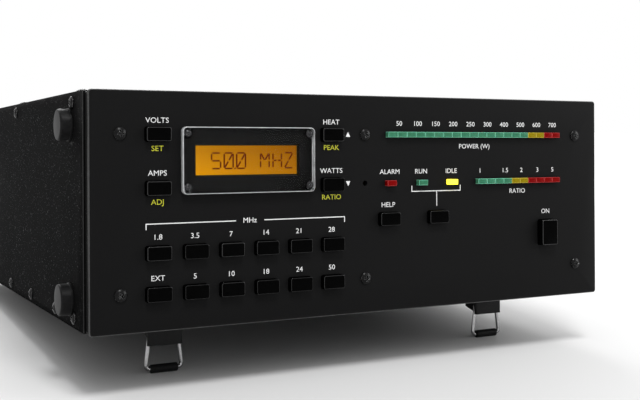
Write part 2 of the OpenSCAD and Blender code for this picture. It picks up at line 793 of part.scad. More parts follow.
// Blocks that carry the bails. Each has a wall before the bail's legs, which is their stop, and room
// beside its middle for the legs to fold back.
module bail_brackets() {
    shoulder = wire_r + slip - pivot_drop;
    color("#2b2b2e") place() for (x = bracket_x) translate([x, foot_y, 0]) {
        difference() {
            intersection() {
                translate([0, 0, -bracket_h]) linear_extrude(bracket_h)
                    rounded([0, (bracket_back - bracket_front) / 2], bracket_w, bracket_back + bracket_front,
                            bracket_r);
                translate([-bracket_w / 2, 0, 0]) rotate([90, 0, 90]) linear_extrude(bracket_w)
                    polygon([[-bracket_front, 0], [-bracket_front, -bracket_h], [wire_r, -bracket_h],
                             [bracket_back, -bracket_rear_h], [bracket_back, 0]]);
            }
            for (s = [-1, 1]) translate([s * (core_w + bracket_w) / 2, 0, 0])
                block([-bracket_w / 2, -wire_r - slip, -bracket_h - 1],
                      [bracket_w / 2, bracket_back + 1, shoulder]);
            translate([-bracket_w, 0, -pivot_drop]) rotate([0, 90, 0])
                cylinder(h = 2 * bracket_w, r = wire_r + run);
            translate([0, bracket_screw, 0]) sunk_screw_hole();
        }
        cylinder(h = sheet_t, r = shank_r);
    }
}

// One wire from a point to another, with an elbow at its far end
module wire(a, b, r) {
    d = b - a;
    translate(a) rotate([0, acos(d[2] / norm(d)), atan2(d[1], d[0])]) cylinder(h = norm(d), r = r);
    translate(b) sphere(elbow * r);
}

module bail(x) {
    pin_in = core_w / 2 - pin_l;
    color("#c9ccd0") place() translate([x, foot_y, 0]) {
        for (s = [-1, 1]) {
            translate([s * bail_top, 0, -pivot_drop]) sphere(elbow * wire_r);
            wire([s * bail_top, 0, -pivot_drop], [s * bail_bottom, 0, bar_z], wire_r);
            translate([min(s * pin_in, s * bail_top), 0, -pivot_drop]) rotate([0, 90, 0])
                cylinder(h = bail_top - pin_in, r = wire_r);
        }
        translate([-bail_bottom, 0, bar_z]) rotate([0, 90, 0]) cylinder(h = 2 * bail_bottom, r = wire_r);
        translate([1 - bail_bottom, 0, bar_z]) rotate([0, 90, 0])
            cylinder(h = 2 * bail_bottom - 2, r = sleeve_r);
    }
}

module left_bail() bail(bracket_x[0]);
module right_bail() bail(bracket_x[1]);

module rear_feet() {
    color("#1d1d1f") place() for (x = bracket_x) translate([x, rear_foot_y, 0]) difference() {
        translate([0, 0, -foot_h]) cylinder(h = foot_h, r = rear_foot_r);
        sunk_screw_hole();
    }
}

// The strap's bow off the case at a share of its length
function bow(s) = panel_w + strap_off + strap_bow * pow(sin(180 * s), 2);

module strap_handle() {
    steps = 24;
    length = handle_span - cap_l;
    start = handle_y - length / 2;
    color("#1a1a1b") place() translate([0, 0, handle_z - strap_w / 2]) linear_extrude(strap_w)
        polygon(concat(
            [for (i = [0:steps]) [bow(i / steps), start + length * i / steps]],
            [for (i = [steps:-1:0]) [bow(i / steps) + strap_t, start + length * i / steps]]));
}

module handle_end_caps() {
    color("#202022") place() difference() {
        for (s = [-1, 1]) facing_right(handle_y + s * handle_span / 2, handle_z)
            linear_extrude(cap_out) rounded([0, 0], cap_h, cap_l, cap_r);
        for (y = cap_screw_y) facing_right(y, handle_z, panel_w - 1)
            cylinder(h = cap_out + 2, r = shank_r + fit);
    }
}

// ---- Rear panel's pieces ----

module fan_frame() {
    color("#222224") place() {
        difference() {
            plate(fan_front, rear_in) rounded(fan_at, fan_size, fan_size, 3);
            rod(fan_at, fan_front - 1, rear_in + 1, fan_hole);
            for (x = [-0.5, 0.5], z = [-0.5, 0.5])
                rod(fan_at + fan_pitch * [x, z], fan_front - 1, rear_in + 1, shank_r + fit);
        }
        difference() {
            union() {
                rod(fan_at, rear_in - mount_t, rear_in, hub_r);
                for (turn = [45:90:315]) facing_front(fan_at, rear_in) rotate(turn)
                    translate([hub_r - 1, -2, 0]) cube([fan_hole - hub_r + 1.5, 4, mount_t]);
            }
            rod(fan_at, rear_in - mount_t - 1, rear_in + 1, shank_r + run);
        }
    }
}

module fan_rotor() {
    blades = 7;
    tip_r = fan_hole - 1.5;
    back = rear_in - mount_t - 1;
    front = fan_front + 1;
    color("#161618") place() {
        rod(fan_at, front, back, hub_r);
        rod(fan_at, back, rear_in - 0.5, shank_r);
        intersection() {
            facing_front(fan_at, back - 1) for (i = [0:blades - 1]) rotate(i * 360 / blades)
                translate([hub_r - 1, 0, (back - 1 - front - 1) / 2]) rotate([40, 0, 0])
                    translate([0, -13, -0.9]) cube([tip_r - hub_r + 4, 26, 1.8]);
            rod(fan_at, front + 1, back - 1, tip_r);
        }
    }
}

module fan_guard() {
    lug_r = 3.4;
    color("#b4b6ba") place() {
        facing_back(fan_at, case_d + guard_wire) {
            difference() {
                union() {
                    for (r = guard_rings) translate([0, 0, 1.4 * guard_wire]) rotate_extrude()
                        translate([r, 0]) circle(guard_wire);
                    for (turn = [45:90:315]) rotate([0, 90, turn]) translate([0, 0, guard_rings[0] - 2])
                        cylinder(h = fan_pitch / sqrt(2) - guard_rings[0], r = 0.9 * guard_wire);
                    for (x = [-0.5, 0.5], y = [-0.5, 0.5]) translate(fan_pitch * [x, y, 0])
                        translate([0, 0, -guard_wire]) cylinder(h = guard_wire, r = lug_r);
                }
                for (x = [-0.5, 0.5], y = [-0.5, 0.5]) translate(fan_pitch * [x, y, 0]) {
                    translate([0, 0, -3]) cylinder(h = 6, r = shank_r + fit);
                    cylinder(h = 6, r = head_r + fit);
                }
            }
        }
    }
}

module rf_connectors() {
    color("#c3c5c8") place() for (at = rf_places) {
        difference() {
            union() {
                plate(case_d, case_d + 2) rounded(at, rf_flange, rf_flange, 2);
                rod(at, case_d + 1, case_d + 2 + rf_length, rf_thread_r);
                rod(at, rear_in - 8, case_d + 1, 5);
                rod(at, rear_in - 14, rear_in - 7, 1.6);
            }
            rod(at, case_d + rf_length - 2, case_d + 3 + rf_length, 6);
            rod(at, case_d - 2, case_d + 3 + rf_length, 2);
        }
        for (x = [-1, 1], z = [-1, 1]) facing_back(at + [x, z] * 9.1, case_d + 2) screw(2 * eps, 2, 1, 1);
    }
}

module data_connectors() {
    color("#b0b2b6") place() {
        for (at = data_places) {
            difference() {
                union() {
                    plate(case_d, case_d + 1.2) rounded(at, data_flange[0], data_flange[1], 1.5);
                    plate(case_d, case_d + 7) d_outline(at);
                    plate(rear_in - 8, case_d) d_outline(at);
                }
                plate(case_d + 2, case_d + 8) d_outline(at, -1);
                for (x = [-1, 1]) rod(at + [x * data_jack, 0], case_d - 1, case_d + 2, shank_r + fit);
            }
        }
        difference() {
            union() {
                rod(key_place, case_d, case_d + 1.5, 6);
                rod(key_place, rear_in - 6, case_d + 10, 4.2);
            }
            rod(key_place, case_d + 1, case_d + 11, 1.7);
        }
    }
}

module power_inlet() {
    color("#151517") place() difference() {
        union() {
            plate(case_d, case_d + 2.5) rounded(inlet_place, inlet_size[0], inlet_size[1], 2);
            plate(rear_in - inlet_deep, case_d + 1) translate(inlet_place)
                square(inlet_size - [5.6, 5.6], center = true);
        }
        plate(case_d - socket_deep, case_d + 3) rounded(socket_place, socket_size[0], socket_size[1], 2);
        plate(case_d - socket_deep + 0.5, case_d + 3) translate(drawer_place)
            square(drawer_size + 2 * slip * [1, 1], center = true);
    }
}

module fuse_drawer() {
    color("#1b1b1d") place() {
        plate(case_d - 14, case_d + 3) translate(drawer_place) square(drawer_size, center = true);
        plate(case_d + 3, case_d + 4.5) rounded(drawer_place, drawer_size[0] + 1.5, drawer_size[1] + 2, 1);
    }
}

module switch_frame() {
    color("#151517") place() {
        difference() {
            union() {
                plate(case_d, case_d + 1.5)
                    rounded(rocker_place, rocker_hole[0] + 3, rocker_hole[1] + 3, 1.2);
                plate(rear_in - 18, case_d + 1) translate(rocker_place) square(rocker_hole, center = true);
            }
            plate(rocker_pivot - rocker_r - 1, case_d + 2) translate(rocker_place)
                square([rocker_w + 2 * slip, 2 * rocker_r + 2 * slip], center = true);
        }
        translate([rocker_place[0] - rocker_hole[0] / 2 + 0.5, rocker_pivot, rocker_place[1]])
            rotate([0, 90, 0]) cylinder(h = rocker_hole[0] - 1, r = 1);
    }
}

// The rocker is a slice of a drum about its pivot, with a shallow V as its face
module power_rocker() {
    color("#0e0e0f") place() translate([rocker_place[0] - rocker_w / 2, rocker_pivot, rocker_place[1]])
        rotate([rocker_lean, 0, 0]) rotate([90, 0, 90]) linear_extrude(rocker_w) difference() {
            intersection() {
                circle(rocker_r);
                polygon([[-3, -9], [3.6, -9], [2.6, 0], [3.6, 9], [-3, 9]]);
            }
            circle(1 + run);
        }
}

module ground_post() {
    color("#c8a45a") place() {
        rod(ground_place, rear_in - 8, case_d + ground_l, ground_r);
        rod(ground_place, case_d, case_d + 1.5, 6.5);
        facing_back(ground_place, case_d + 1.5) cylinder(h = 4, r = 5.8, $fn = 6);
        facing_front(ground_place, rear_in) cylinder(h = 4, r = 5.8, $fn = 6);
    }
}

module ground_wing_nut() {
    nut_front = case_d + 5.5 + slip;
    color("#c9ccd0") place() difference() {
        union() {
            facing_back(ground_place, nut_front) cylinder(h = 6, r1 = 5.5, r2 = 4.6);
            for (s = [-1, 1]) facing_back(ground_place, nut_front + 3) translate([s * 9, 0, 0])
                rotate([90, 0, 0]) intersection() {
                    translate([0, 2, -1]) cylinder(h = 2, r = 5.5);
                    translate([-6, -3, -1]) cube([12, 11, 2]);
                }
        }
        rod(ground_place, nut_front - 1, nut_front + 12, ground_r + run);
    }
}

// ---- Inside ----

module power_transformer() {
    pad = 3;
    base = sheet_t + pad;
    color("#c9a227") place() translate([transformer_at[0], transformer_at[1], 0]) {
        translate([0, 0, sheet_t]) difference() {
            cylinder(h = pad, r = transformer_r - 4);
            translate([0, 0, -1]) cylinder(h = pad + 2, r = 4 + fit);
        }
        translate([0, 0, base]) rotate_extrude() translate([winding_r, 0])
            rounded([(transformer_r - winding_r) / 2, transformer_h / 2],
                    transformer_r - winding_r, transformer_h, 8);
        translate([0, 0, base + transformer_h]) difference() {
            cylinder(h = 2.5, r = washer_r);
            translate([0, 0, -1]) cylinder(h = 5, r = 4 + fit);
        }
        translate([0, 0, -1.5]) cylinder(h = base + transformer_h + 12, r = 4);
        translate([0, 0, -3.5]) cylinder(h = 3.5, r = 6.5, $fn = 6);
        translate([0, 0, base + transformer_h + 2.5]) cylinder(h = 6, r = 7, $fn = 6);
    }
}

// A board on four spacers, from one corner to the opposite one
module raised_board(x, y, z) {
    block([x[0], y[0], z], [x[1], y[1], z + board_t]);
    for (px = [x[0] + post_in, x[1] - post_in], py = [y[0] + post_in, y[1] - post_in])
        translate([px, py, sheet_t]) cylinder(h = z - sheet_t, r = post_r, $fn = 6);
}

// A place on a span, as a share of its length
function along(span, share) = span[0] + share * (span[1] - span[0]);

module supply_board() {
    color("#20623a") place() {
        raised_board(supply_x, supply_y, supply_z);
        block([along(supply_x, 0.36), along(supply_y, 0.62), supply_z + board_t],
              [along(supply_x, 0.62), along(supply_y, 0.78), supply_z + board_t + capacitor_h / 2]);
    }
}

module filter_capacitors() {
    pitch = (supply_x[1] - supply_x[0]) / capacitor_count;
    color("#2c3f8f") place() for (i = [0:capacitor_count - 1])
        translate([supply_x[0] + (i + 0.5) * pitch, along(supply_y, 0.32), supply_z + board_t])
            cylinder(h = capacitor_h, r = (pitch - capacitor_gap) / 2);
}

module heat_sink() {
    fin_t = 2.2;
    pitch = (sink_w - fin_t) / (fin_count - 1);
    color("#a9abaf") place() {
        block([sink_x, sink_front, sheet_t + fin_h], [sink_x + sink_w, sink_front + sink_l, sink_top]);
        for (i = [0:fin_count - 1])
            block([sink_x + i * pitch, sink_front, sheet_t],
                  [sink_x + i * pitch + fin_t, sink_front + sink_l, sheet_t + fin_h]);
    }
}

// Two equal parts on the amplifier's board, either side of its middle line: out and half_w are shares of
// its width, and span is a share of its length
module pair_on_sink(out, half_w, span, h) {
    middle = sink_x + sink_w / 2;
    for (s = [-1, 1])
        block([middle + (s * out - half_w) * sink_w, sink_front + span[0] * sink_l, sink_top + board_t],
              [middle + (s * out + half_w) * sink_w, sink_front + span[1] * sink_l, sink_top + board_t + h]);
}

module rf_board() {
    margin = 0.035 * sink_w;
    color("#1f6a3c") place() {
        block([sink_x + margin, sink_front + margin, sink_top],
              [sink_x + sink_w - margin, sink_front + sink_l - margin, sink_top + board_t]);
        pair_on_sink(0.1, 0.06, [0.15, 0.27], 0.3 * fin_h);
        pair_on_sink(0.21, 0.1, [0.41, 0.53], 0.14 * fin_h);
        pair_on_sink(0.1, 0.09, [0.62, 0.82], 0.5 * fin_h);
    }
}

module filter_board() {
    coils = 5;
    pitch = (filter_x[1] - filter_x[0]) / coils;
    coil_r = 0.4 * pitch;
    top = filter_z + board_t;
    color("#1f6a3c") place() {
        raised_board(filter_x, filter_y, filter_z);
        for (i = [0:coils - 1]) {
            x = filter_x[0] + (i + 0.5) * pitch;
            translate([x, along(filter_y, 0.7), top]) difference() {
                cylinder(h = 0.8 * coil_r, r = coil_r);
                translate([0, 0, -1]) cylinder(h = coil_r + 2, r = 0.45 * coil_r);
            }
            block([x - 0.3 * pitch, along(filter_y, 0.1), top],
                  [x + 0.3 * pitch, along(filter_y, 0.44), top + 0.55 * pitch]);
        }
    }
}

front_panel();
front_frame();
front_board();
front_screws();
display_window();
lcd_module();
tact_switches();
green_leds();
yellow_leds();
red_leds();
on_button();
help_button();
operate_button();
for (i = [0:3]) function_button(i);
for (i = [1:12]) band_button(i);
bottom_panel();
left_side_panel();
right_side_panel();
rear_panel();
top_cover();
corner_blocks();
case_screws();
side_feet();
bail_brackets();
left_bail();
right_bail();
rear_feet();
strap_handle();
handle_end_caps();
fan_frame();
fan_rotor();
fan_guard();
rf_connectors();
data_connectors();
power_inlet();
fuse_drawer();
switch_frame();
power_rocker();
ground_post();
ground_wing_nut();
power_transformer();
supply_board();
filter_capacitors();
heat_sink();
rf_board();
filter_board();
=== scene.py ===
# Desktop HF linear amplifier: a black steel case with push buttons, LED bar meters and an amber display,
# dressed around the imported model. Lengths are metres; most pieces are drawn in the case's own frame.
import json
import math

import bmesh
import bpy
from mathutils import Matrix, Vector


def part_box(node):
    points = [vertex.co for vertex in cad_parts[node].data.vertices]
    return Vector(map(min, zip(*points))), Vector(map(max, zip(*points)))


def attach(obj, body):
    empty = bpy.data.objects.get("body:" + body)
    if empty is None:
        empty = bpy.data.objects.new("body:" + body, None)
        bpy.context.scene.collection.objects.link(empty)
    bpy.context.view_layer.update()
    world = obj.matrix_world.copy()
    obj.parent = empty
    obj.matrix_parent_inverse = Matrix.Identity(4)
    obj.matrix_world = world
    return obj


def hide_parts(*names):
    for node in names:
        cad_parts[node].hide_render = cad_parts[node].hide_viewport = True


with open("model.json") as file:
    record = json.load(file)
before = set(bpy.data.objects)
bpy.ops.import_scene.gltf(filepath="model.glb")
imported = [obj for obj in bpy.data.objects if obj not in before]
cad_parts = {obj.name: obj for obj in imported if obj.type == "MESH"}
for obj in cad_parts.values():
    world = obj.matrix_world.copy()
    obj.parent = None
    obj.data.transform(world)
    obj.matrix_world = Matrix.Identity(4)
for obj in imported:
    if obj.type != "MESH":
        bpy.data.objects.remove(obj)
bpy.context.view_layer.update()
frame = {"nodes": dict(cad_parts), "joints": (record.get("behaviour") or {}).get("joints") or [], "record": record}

# --- The case's own frame and the camera ----------------------------------------------------------
# A button's axis gives the case's lean, and the front panel's box its bottom left corner. From there x
# runs along the panel, y into the case and z up the panel. The camera was solved from the panel's corners.
MM = 0.001
into_case = next(j["axis"] for j in frame["joints"] if j["name"] == "on_press")
lean = math.atan2(-into_case[2], into_case[1])
panel_low, panel_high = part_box("front_panel")
box_deep = panel_high.y - panel_low.y
box_tall = panel_high.z - panel_low.z
PANEL_H = (box_tall * math.cos(lean) - box_deep * math.sin(lean)) / math.cos(2 * lean)
panel_corner = Vector((panel_low.x, panel_low.y, panel_high.z - PANEL_H * math.cos(lean)))
case_frame = Matrix.Translation(panel_corner) @ Matrix.Rotation(-lean, 4, "X")
to_case = case_frame.inverted()


def stand(name, data):
    """A new object of some data, in the scene."""
    piece = bpy.data.objects.new(name, data)
    bpy.context.scene.collection.objects.link(piece)
    return piece


CAMERA_AT = (-0.1078, -0.4088, 0.0751)
CAMERA_YAW = 0.48699
CAMERA_ROLL = -0.0047
FOCAL_PX = 1010.9
AXIS_PX = (324.1, 152.4)
IMAGE_PX = (640, 400)


def add_camera():
    ahead = Vector((math.sin(CAMERA_YAW), math.cos(CAMERA_YAW), 0))
    level = Vector((math.cos(CAMERA_YAW), -math.sin(CAMERA_YAW), 0))
    right = math.cos(CAMERA_ROLL) * level + math.sin(CAMERA_ROLL) * Vector((0, 0, 1))
    up = right.cross(ahead)
    turn = Matrix((right, up, -ahead)).transposed().to_4x4()
    data = bpy.data.cameras.new("camera")
    data.sensor_width = 36
    data.lens = FOCAL_PX / IMAGE_PX[0] * data.sensor_width
    data.shift_x = (IMAGE_PX[0] / 2 - AXIS_PX[0]) / IMAGE_PX[0]
    data.shift_y = (AXIS_PX[1] - IMAGE_PX[1] / 2) / IMAGE_PX[0]
    data.clip_start = 0.01
    camera = stand("camera", data)
    camera.matrix_world = case_frame @ Matrix.Translation(CAMERA_AT) @ turn
    bpy.context.scene.camera = camera


add_camera()

# --- Floor and light ------------------------------------------------------------------------------
# A plain pale floor under soft studio light: a lamp high over the front, a weak one at the right and a
# strip behind that draws the case's edges. Camera, mirror and glass rays see a white room, and the floor
# fades into it far from the amplifier.
bpy.context.scene.view_settings.view_transform = "Standard"


def node_of(tree, kind, feeds=None, **settings):
    """A new node in a tree: its settings made, its inputs linked to sockets or set to values."""
    node = tree.nodes.new(kind)
    for key, value in settings.items():
        setattr(node, key, value)
    for key, value in (feeds or {}).items():
        if isinstance(value, bpy.types.NodeSocket):
            tree.links.new(value, node.inputs[key])
        else:
            node.inputs[key].default_value = value
    return node


def sum_of(tree, operation, *values):
    """The result of some arithmetic on sockets or numbers."""
    return node_of(tree, "ShaderNodeMath", dict(enumerate(values)), operation=operation).outputs[0]


def shaded(name, sockets):
    """A material with its shader's own sockets set, and with it the node tree and the shader's inputs."""
    material = bpy.data.materials.new(name)
    material.use_nodes = True
    shader = material.node_tree.nodes["Principled BSDF"]
    for socket, value in sockets.items():
        shader.inputs[socket].default_value = value
    return material, material.node_tree, shader.inputs


def seen_ray(tree):
    """A socket that is 1 for the rays by which the camera, mirrors and glass see the room."""
    path = tree.nodes.new("ShaderNodeLightPath")
    shown = path.outputs["Is Camera Ray"]
    for ray in ("Is Glossy Ray", "Is Transmission Ray"):
        shown = sum_of(tree, "MAXIMUM", shown, path.outputs[ray])
    return shown


def add_world(strength, seen):
    world = bpy.data.worlds.new("studio")
    bpy.context.scene.world = world
    world.use_nodes = True
    tree = world.node_tree
    level = node_of(tree, "ShaderNodeMapRange", {"Value": seen_ray(tree), "To Min": strength, "To Max": seen})
    sky = tree.nodes["Background"].inputs
    sky["Color"].default_value = (1, 1, 1, 1)
    tree.links.new(level.outputs["Result"], sky["Strength"])


def add_lamp(name, at, aim, size, power):
    data = bpy.data.lights.new(name, "AREA")
    data.shape = "RECTANGLE"
    data.size, data.size_y = size
    data.energy = power
    lamp = stand(name, data)
    lamp.location = at
    lamp.rotation_euler = (Vector(aim) - Vector(at)).to_track_quat("-Z", "Y").to_euler()


add_world(strength=0.5, seen=1.0)
add_lamp("key_lamp", (-0.12, -0.75, 1.2), (0, -0.1, 0.05), (0.35, 0.35), 10)
add_lamp("fill_lamp", (0.9, -0.6, 0.5), (0, -0.1, 0.05), (0.5, 0.5), 4)
add_lamp("back_lamp", (0.1, 0.9, 0.7), (0, 0, 0.1), (1.2, 0.3), 9)


def add_floor(reach, fade_from, fade_to, fade_glow):
    """A pale square floor that keeps shadows near the amplifier and fades to white far from it."""
    floor = bpy.data.meshes.new("floor")
    corners = [(x * reach, y * reach, 0) for x, y in ((-1, -1), (1, -1), (1, 1), (-1, 1))]
    floor.from_pydata(corners, [], [(0, 1, 2, 3)])
    piece = stand("floor", floor)
    material, tree, shader = shaded("pale_floor", {"Base Color": (0.8, 0.8, 0.8, 1), "Roughness": 0.6,
                                                   "Emission Color": (1, 1, 1, 1)})
    place = tree.nodes.new("ShaderNodeTexCoord").outputs["Object"]
    away = node_of(tree, "ShaderNodeVectorMath", {0: place}, operation="LENGTH").outputs["Value"]
    feeds = {"Value": away, "From Min": fade_from, "From Max": fade_to, "To Max": fade_glow}
    fade = node_of(tree, "ShaderNodeMapRange", feeds, interpolation_type="SMOOTHSTEP").outputs["Result"]
    tree.links.new(sum_of(tree, "MULTIPLY", fade, seen_ray(tree)), shader["Emission Strength"])
    floor.materials.append(material)


add_floor(reach=3, fade_from=0.35, fade_to=1.1, fade_glow=0.65)

# --- Front panel and front frame ------------------------------------------------------------------
# The panel is sheet aluminium in a fine black powder coat, over a frame in a coarser coat. Their edges
# are broken by a small round in a lighter, glossier coat: partly thin, worn coat, partly a painted highlight.


def group_of(kind, name, takes, gives):
    """A node group with named sockets, and with it what it is given and what it gives."""
    group = bpy.data.node_groups.new(name, kind)
    for side, sockets in (("INPUT", takes), ("OUTPUT", gives)):
        for title, data in sockets.items():
            group.interface.new_socket(title, in_out=side, socket_type="NodeSocket" + data)
    return group, group.nodes.new("NodeGroupInput").outputs, group.nodes.new("NodeGroupOutput").inputs


def grained_surface():
    """Shader group: a colour that wanders over the surface, with its roughness, grain and sparkle."""
    takes = {"Color": "Color", "Worn Color": "Color", "Grain Scale": "Float", "Cloud Scale": "Float",
             "Roughness": "Float", "Roughness Spread": "Float", "Sparkle": "Float"}
    gives = {"Color": "Color", "Roughness": "Float", "Height": "Float", "Sparkle": "Float"}
    group, given, result = group_of("ShaderNodeTree", "grained_surface", takes, gives)
    place = group.nodes.new("ShaderNodeTexCoord").outputs["Object"]

    def noise(size, detail):
        feeds = {"Vector": place, "Scale": given[size], "Detail": detail}
        return node_of(group, "ShaderNodeTexNoise", feeds).outputs["Fac"]

    def stretched(value, low, high):
        feeds = {"Value": value, "From Min": low, "From Max": high}
        return node_of(group, "ShaderNodeMapRange", feeds).outputs["Result"]

    grain, cloud = noise("Grain Scale", 4), noise("Cloud Scale", 3)
    wear = sum_of(group, "MULTIPLY", stretched(grain, 0.35, 0.75), cloud)
    mix = node_of(group, "ShaderNodeMix", {"Factor": wear, "A": given["Color"], "B": given["Worn Color"]},
                  data_type="RGBA")
    rough = sum_of(group, "MULTIPLY_ADD", cloud, given["Roughness Spread"], given["Roughness"])
    glint = sum_of(group, "MULTIPLY", stretched(grain, 0.67, 0.71), given["Sparkle"])
    for name, value in (("Color", mix.outputs["Result"]), ("Roughness", rough), ("Height", grain),
                        ("Sparkle", glint)):
        group.links.new(value, result[name])
    return group


GRAINED = grained_surface()


def finish(name, color, worn, rough, spread=0.15, grain=1500, cloud=30, bump=0.2, metal=0, sparkle=0,
           gloss=0.5, sockets=None):
    """A material whose colour, roughness and grain come from the grained surface."""
    plain = {"Metallic": metal, "Specular IOR Level": gloss, **(sockets or {})}
    if sparkle:
        plain["Coat Roughness"] = 0.3
    material, tree, shader = shaded(name, plain)
    feeds = {"Color": (*color, 1), "Worn Color": (*worn, 1), "Grain Scale": grain, "Cloud Scale": cloud,
             "Roughness": rough - spread / 2, "Roughness Spread": spread, "Sparkle": sparkle}
    surface = node_of(tree, "ShaderNodeGroup", feeds, node_tree=GRAINED).outputs
    relief = {"Strength": bump, "Distance": 0.1 * MM, "Height": surface["Height"]}
    tree.links.new(node_of(tree, "ShaderNodeBump", relief).outputs["Normal"], shader["Normal"])
    tree.links.new(surface["Color"], shader["Base Color"])
    tree.links.new(surface["Roughness"], shader["Roughness"])
    if sparkle:
        tree.links.new(surface["Sparkle"], shader["Coat Weight"])
    return material


def put_on(node, material):
    """Gives a CAD node's own object its finish."""
    materials = frame["nodes"][node].data.materials
    materials.clear()
    materials.append(material)


def body_of(node):
    return next(body for body, nodes in frame["record"]["behaviour"]["bodies"].items() if node in nodes)


def keep(mesh, name, body, *nodes):
    """Makes a finished mesh a piece that rides on a body and stands for CAD nodes."""
    piece = stand(name, mesh)
    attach(piece, body)
    if nodes:
        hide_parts(*nodes)
    return piece


def plain_mesh(piece):
    """The piece's mesh with its modifiers applied, and the piece gone."""
    bpy.context.view_layer.update()
    seen = piece.evaluated_get(bpy.context.evaluated_depsgraph_get())
    mesh = bpy.data.meshes.new_from_object(seen)
    bpy.data.objects.remove(piece)
    return mesh


def mesh_of(shape, name, *materials):
    """The shape as a mesh in its materials, and the shape gone."""
    mesh = bpy.data.meshes.new(name)
    shape.to_mesh(mesh)
    shape.free()
    for material in materials:
        mesh.materials.append(material)
    return mesh


def merged_copy(node):
    """A CAD node's shape as one clean mesh, with its flat faces whole."""
    shape = bmesh.new()
    shape.from_mesh(frame["nodes"][node].data)
    bmesh.ops.remove_doubles(shape, verts=shape.verts, dist=0.002 * MM)
    bmesh.ops.dissolve_limit(shape, angle_limit=math.radians(1), verts=shape.verts, edges=shape.edges)
    for face in shape.faces:
        face.material_index = 0
    return shape


def rounded_edges(shape, name, coat, edge_coat, width, segments=2, wanted=None):
    """The shape as a mesh with its sharp edges rounded, and the rounds in the edge's coat, which callers often
    make lighter than the face's for a painted highlight.
    """
    weight = shape.edges.layers.float.new("bevel_weight_edge")
    for edge in shape.edges:
        sharp = edge.calc_face_angle(math.pi) > math.radians(35)
        broken = sharp and (wanted is None or wanted(edge))
        edge[weight] = 1.0 if broken else 0.0
        edge.smooth = broken or not sharp
    for face in shape.faces:
        face.smooth = True
    piece = stand(name, mesh_of(shape, name, coat, edge_coat))
    bevel = piece.modifiers.new("edges", "BEVEL")
    bevel.width = width * MM
    bevel.segments = segments
    bevel.limit_method = "WEIGHT"
    bevel.harden_normals = True
    bevel.use_clamp_overlap = True
    bevel.material = 1
    return plain_mesh(piece)


def extent(verts):
    """The low and high corners of some vertices in the case's own frame, in millimetres."""
    points = [to_case @ vert.co / MM for vert in verts]
    return [Vector([pick(point[i] for point in points) for i in range(3)]) for pick in (min, max)]


def case_box(node):
    """The low and high corners of a CAD node in the case's own frame, in millimetres."""
    return extent(frame["nodes"][node].data.vertices)


def outer_edges(node):
    """A test for the edges along a node's outside corners."""
    low, high = case_box(node)

    def outside(edge):
        for vert in edge.verts:
            at = to_case @ vert.co / MM
            if sum(min(at[i] - low[i], high[i] - at[i]) < 0.5 for i in range(3)) < 2:
                return False
        return True
    return outside


def soften(node, name, coat, edge_coat, width, segments=2, wanted=None):
    """Stands a round-edged copy of a CAD node in its place."""
    mesh = rounded_edges(merged_copy(node), name, coat, edge_coat, width, segments, wanted)
    return keep(mesh, name, body_of(node), node)


PANEL_BLACK = finish("black_powder_coat", (0.0055, 0.0055, 0.0056), (0.009, 0.009, 0.0092), rough=0.5,
                     grain=2600, cloud=22, bump=0.15, gloss=0.045)
# Painted highlight: the edge rounds are several times lighter than the faces, partly worn coat, partly the light
# that the edges would catch.
PANEL_EDGE_AND_HIGHLIGHT = finish("thin_powder_coat", (0.03, 0.03, 0.03), (0.09, 0.09, 0.09), rough=0.35,
                    grain=900, cloud=60, bump=0.1, gloss=0.4)
FRAME_BLACK = finish("frame_powder_coat", (0.002, 0.002, 0.002), (0.009, 0.009, 0.009), rough=0.6,
                     grain=1500, cloud=40, bump=0.6, sparkle=0.7, gloss=0.01)
FRAME_EDGE_AND_HIGHLIGHT = finish("frame_edge_coat", (0.012, 0.012, 0.012), (0.05, 0.05, 0.05), rough=0.4,
                    grain=900, cloud=60, bump=0.3, gloss=0.25)
soften("front_panel", "front_plate", PANEL_BLACK, PANEL_EDGE_AND_HIGHLIGHT, 0.4, 3, outer_edges("front_panel"))
soften("front_frame", "front_frame_coated", FRAME_BLACK, FRAME_EDGE_AND_HIGHLIGHT, 0.4, 2, outer_edges("front_frame"))

# --- Legends --------------------------------------------------------------------------------------
# Screen-printed words, numbers and lines on the panel, white for what a button does and yellow for what
# it does when held. They are thin prints of plain sans-serif letters.
PRINT_LIFT = 0.03
PRINT_T = 0.02
CAP = 2.2
WIDEN = 1.08
WHITE_INK = finish("white_ink", (0.78, 0.78, 0.78), (0.9, 0.9, 0.9), rough=0.5, grain=3000, bump=0.05)
YELLOW_INK = finish("yellow_ink", (0.62, 0.62, 0.02), (0.75, 0.75, 0.04), rough=0.5, grain=3000, bump=0.05)
onto_panel = Matrix.Rotation(math.radians(90), 4, "X")


def letters(words, **settings):
    """Words in plain letters as a mesh."""
    curve = bpy.data.curves.new("letters", "FONT")
    curve.body = words
    for key, value in settings.items():
        setattr(curve, key, value)
    return plain_mesh(stand("letters", curve))


outline = [vert.co.y for vert in letters("H").vertices]
CAPITAL = max(outline) - min(outline)


def at_case(x, y, z):
    """The matrix that stands a thing at a place in the case's frame, in millimetres."""
    return case_frame @ Matrix.Translation(Vector((x, y, z)) * MM)


def stamp(shape, words, x, z):
    """Prints words on the panel, centred on a place, in millimetres from the panel's corner."""
    mesh = letters(words, align_x="CENTER", align_y="CENTER", resolution_u=3, extrude=0.004)
    size = CAP * MM / CAPITAL
    mesh.transform(at_case(x, -PRINT_LIFT, z) @ onto_panel @ Matrix.Diagonal((size * WIDEN, size, size, 1)))
    shape.from_mesh(mesh)
    bpy.data.meshes.remove(mesh)


def slab(shape, corners, front, depth):
    """Adds a flat prism with its corners on the panel and its front and depth into it, in millimetres."""
    near, far = [[shape.verts.new(case_frame @ (Vector((x, y, z)) * MM)) for x, z in corners]
                 for y in (front, front + depth)]
    shape.faces.new(near)
    shape.faces.new(far[::-1])
    for i in range(len(corners)):
        k = (i + 1) % len(corners)
        shape.faces.new((near[i], far[i], far[k], near[k]))
    shape.normal_update()


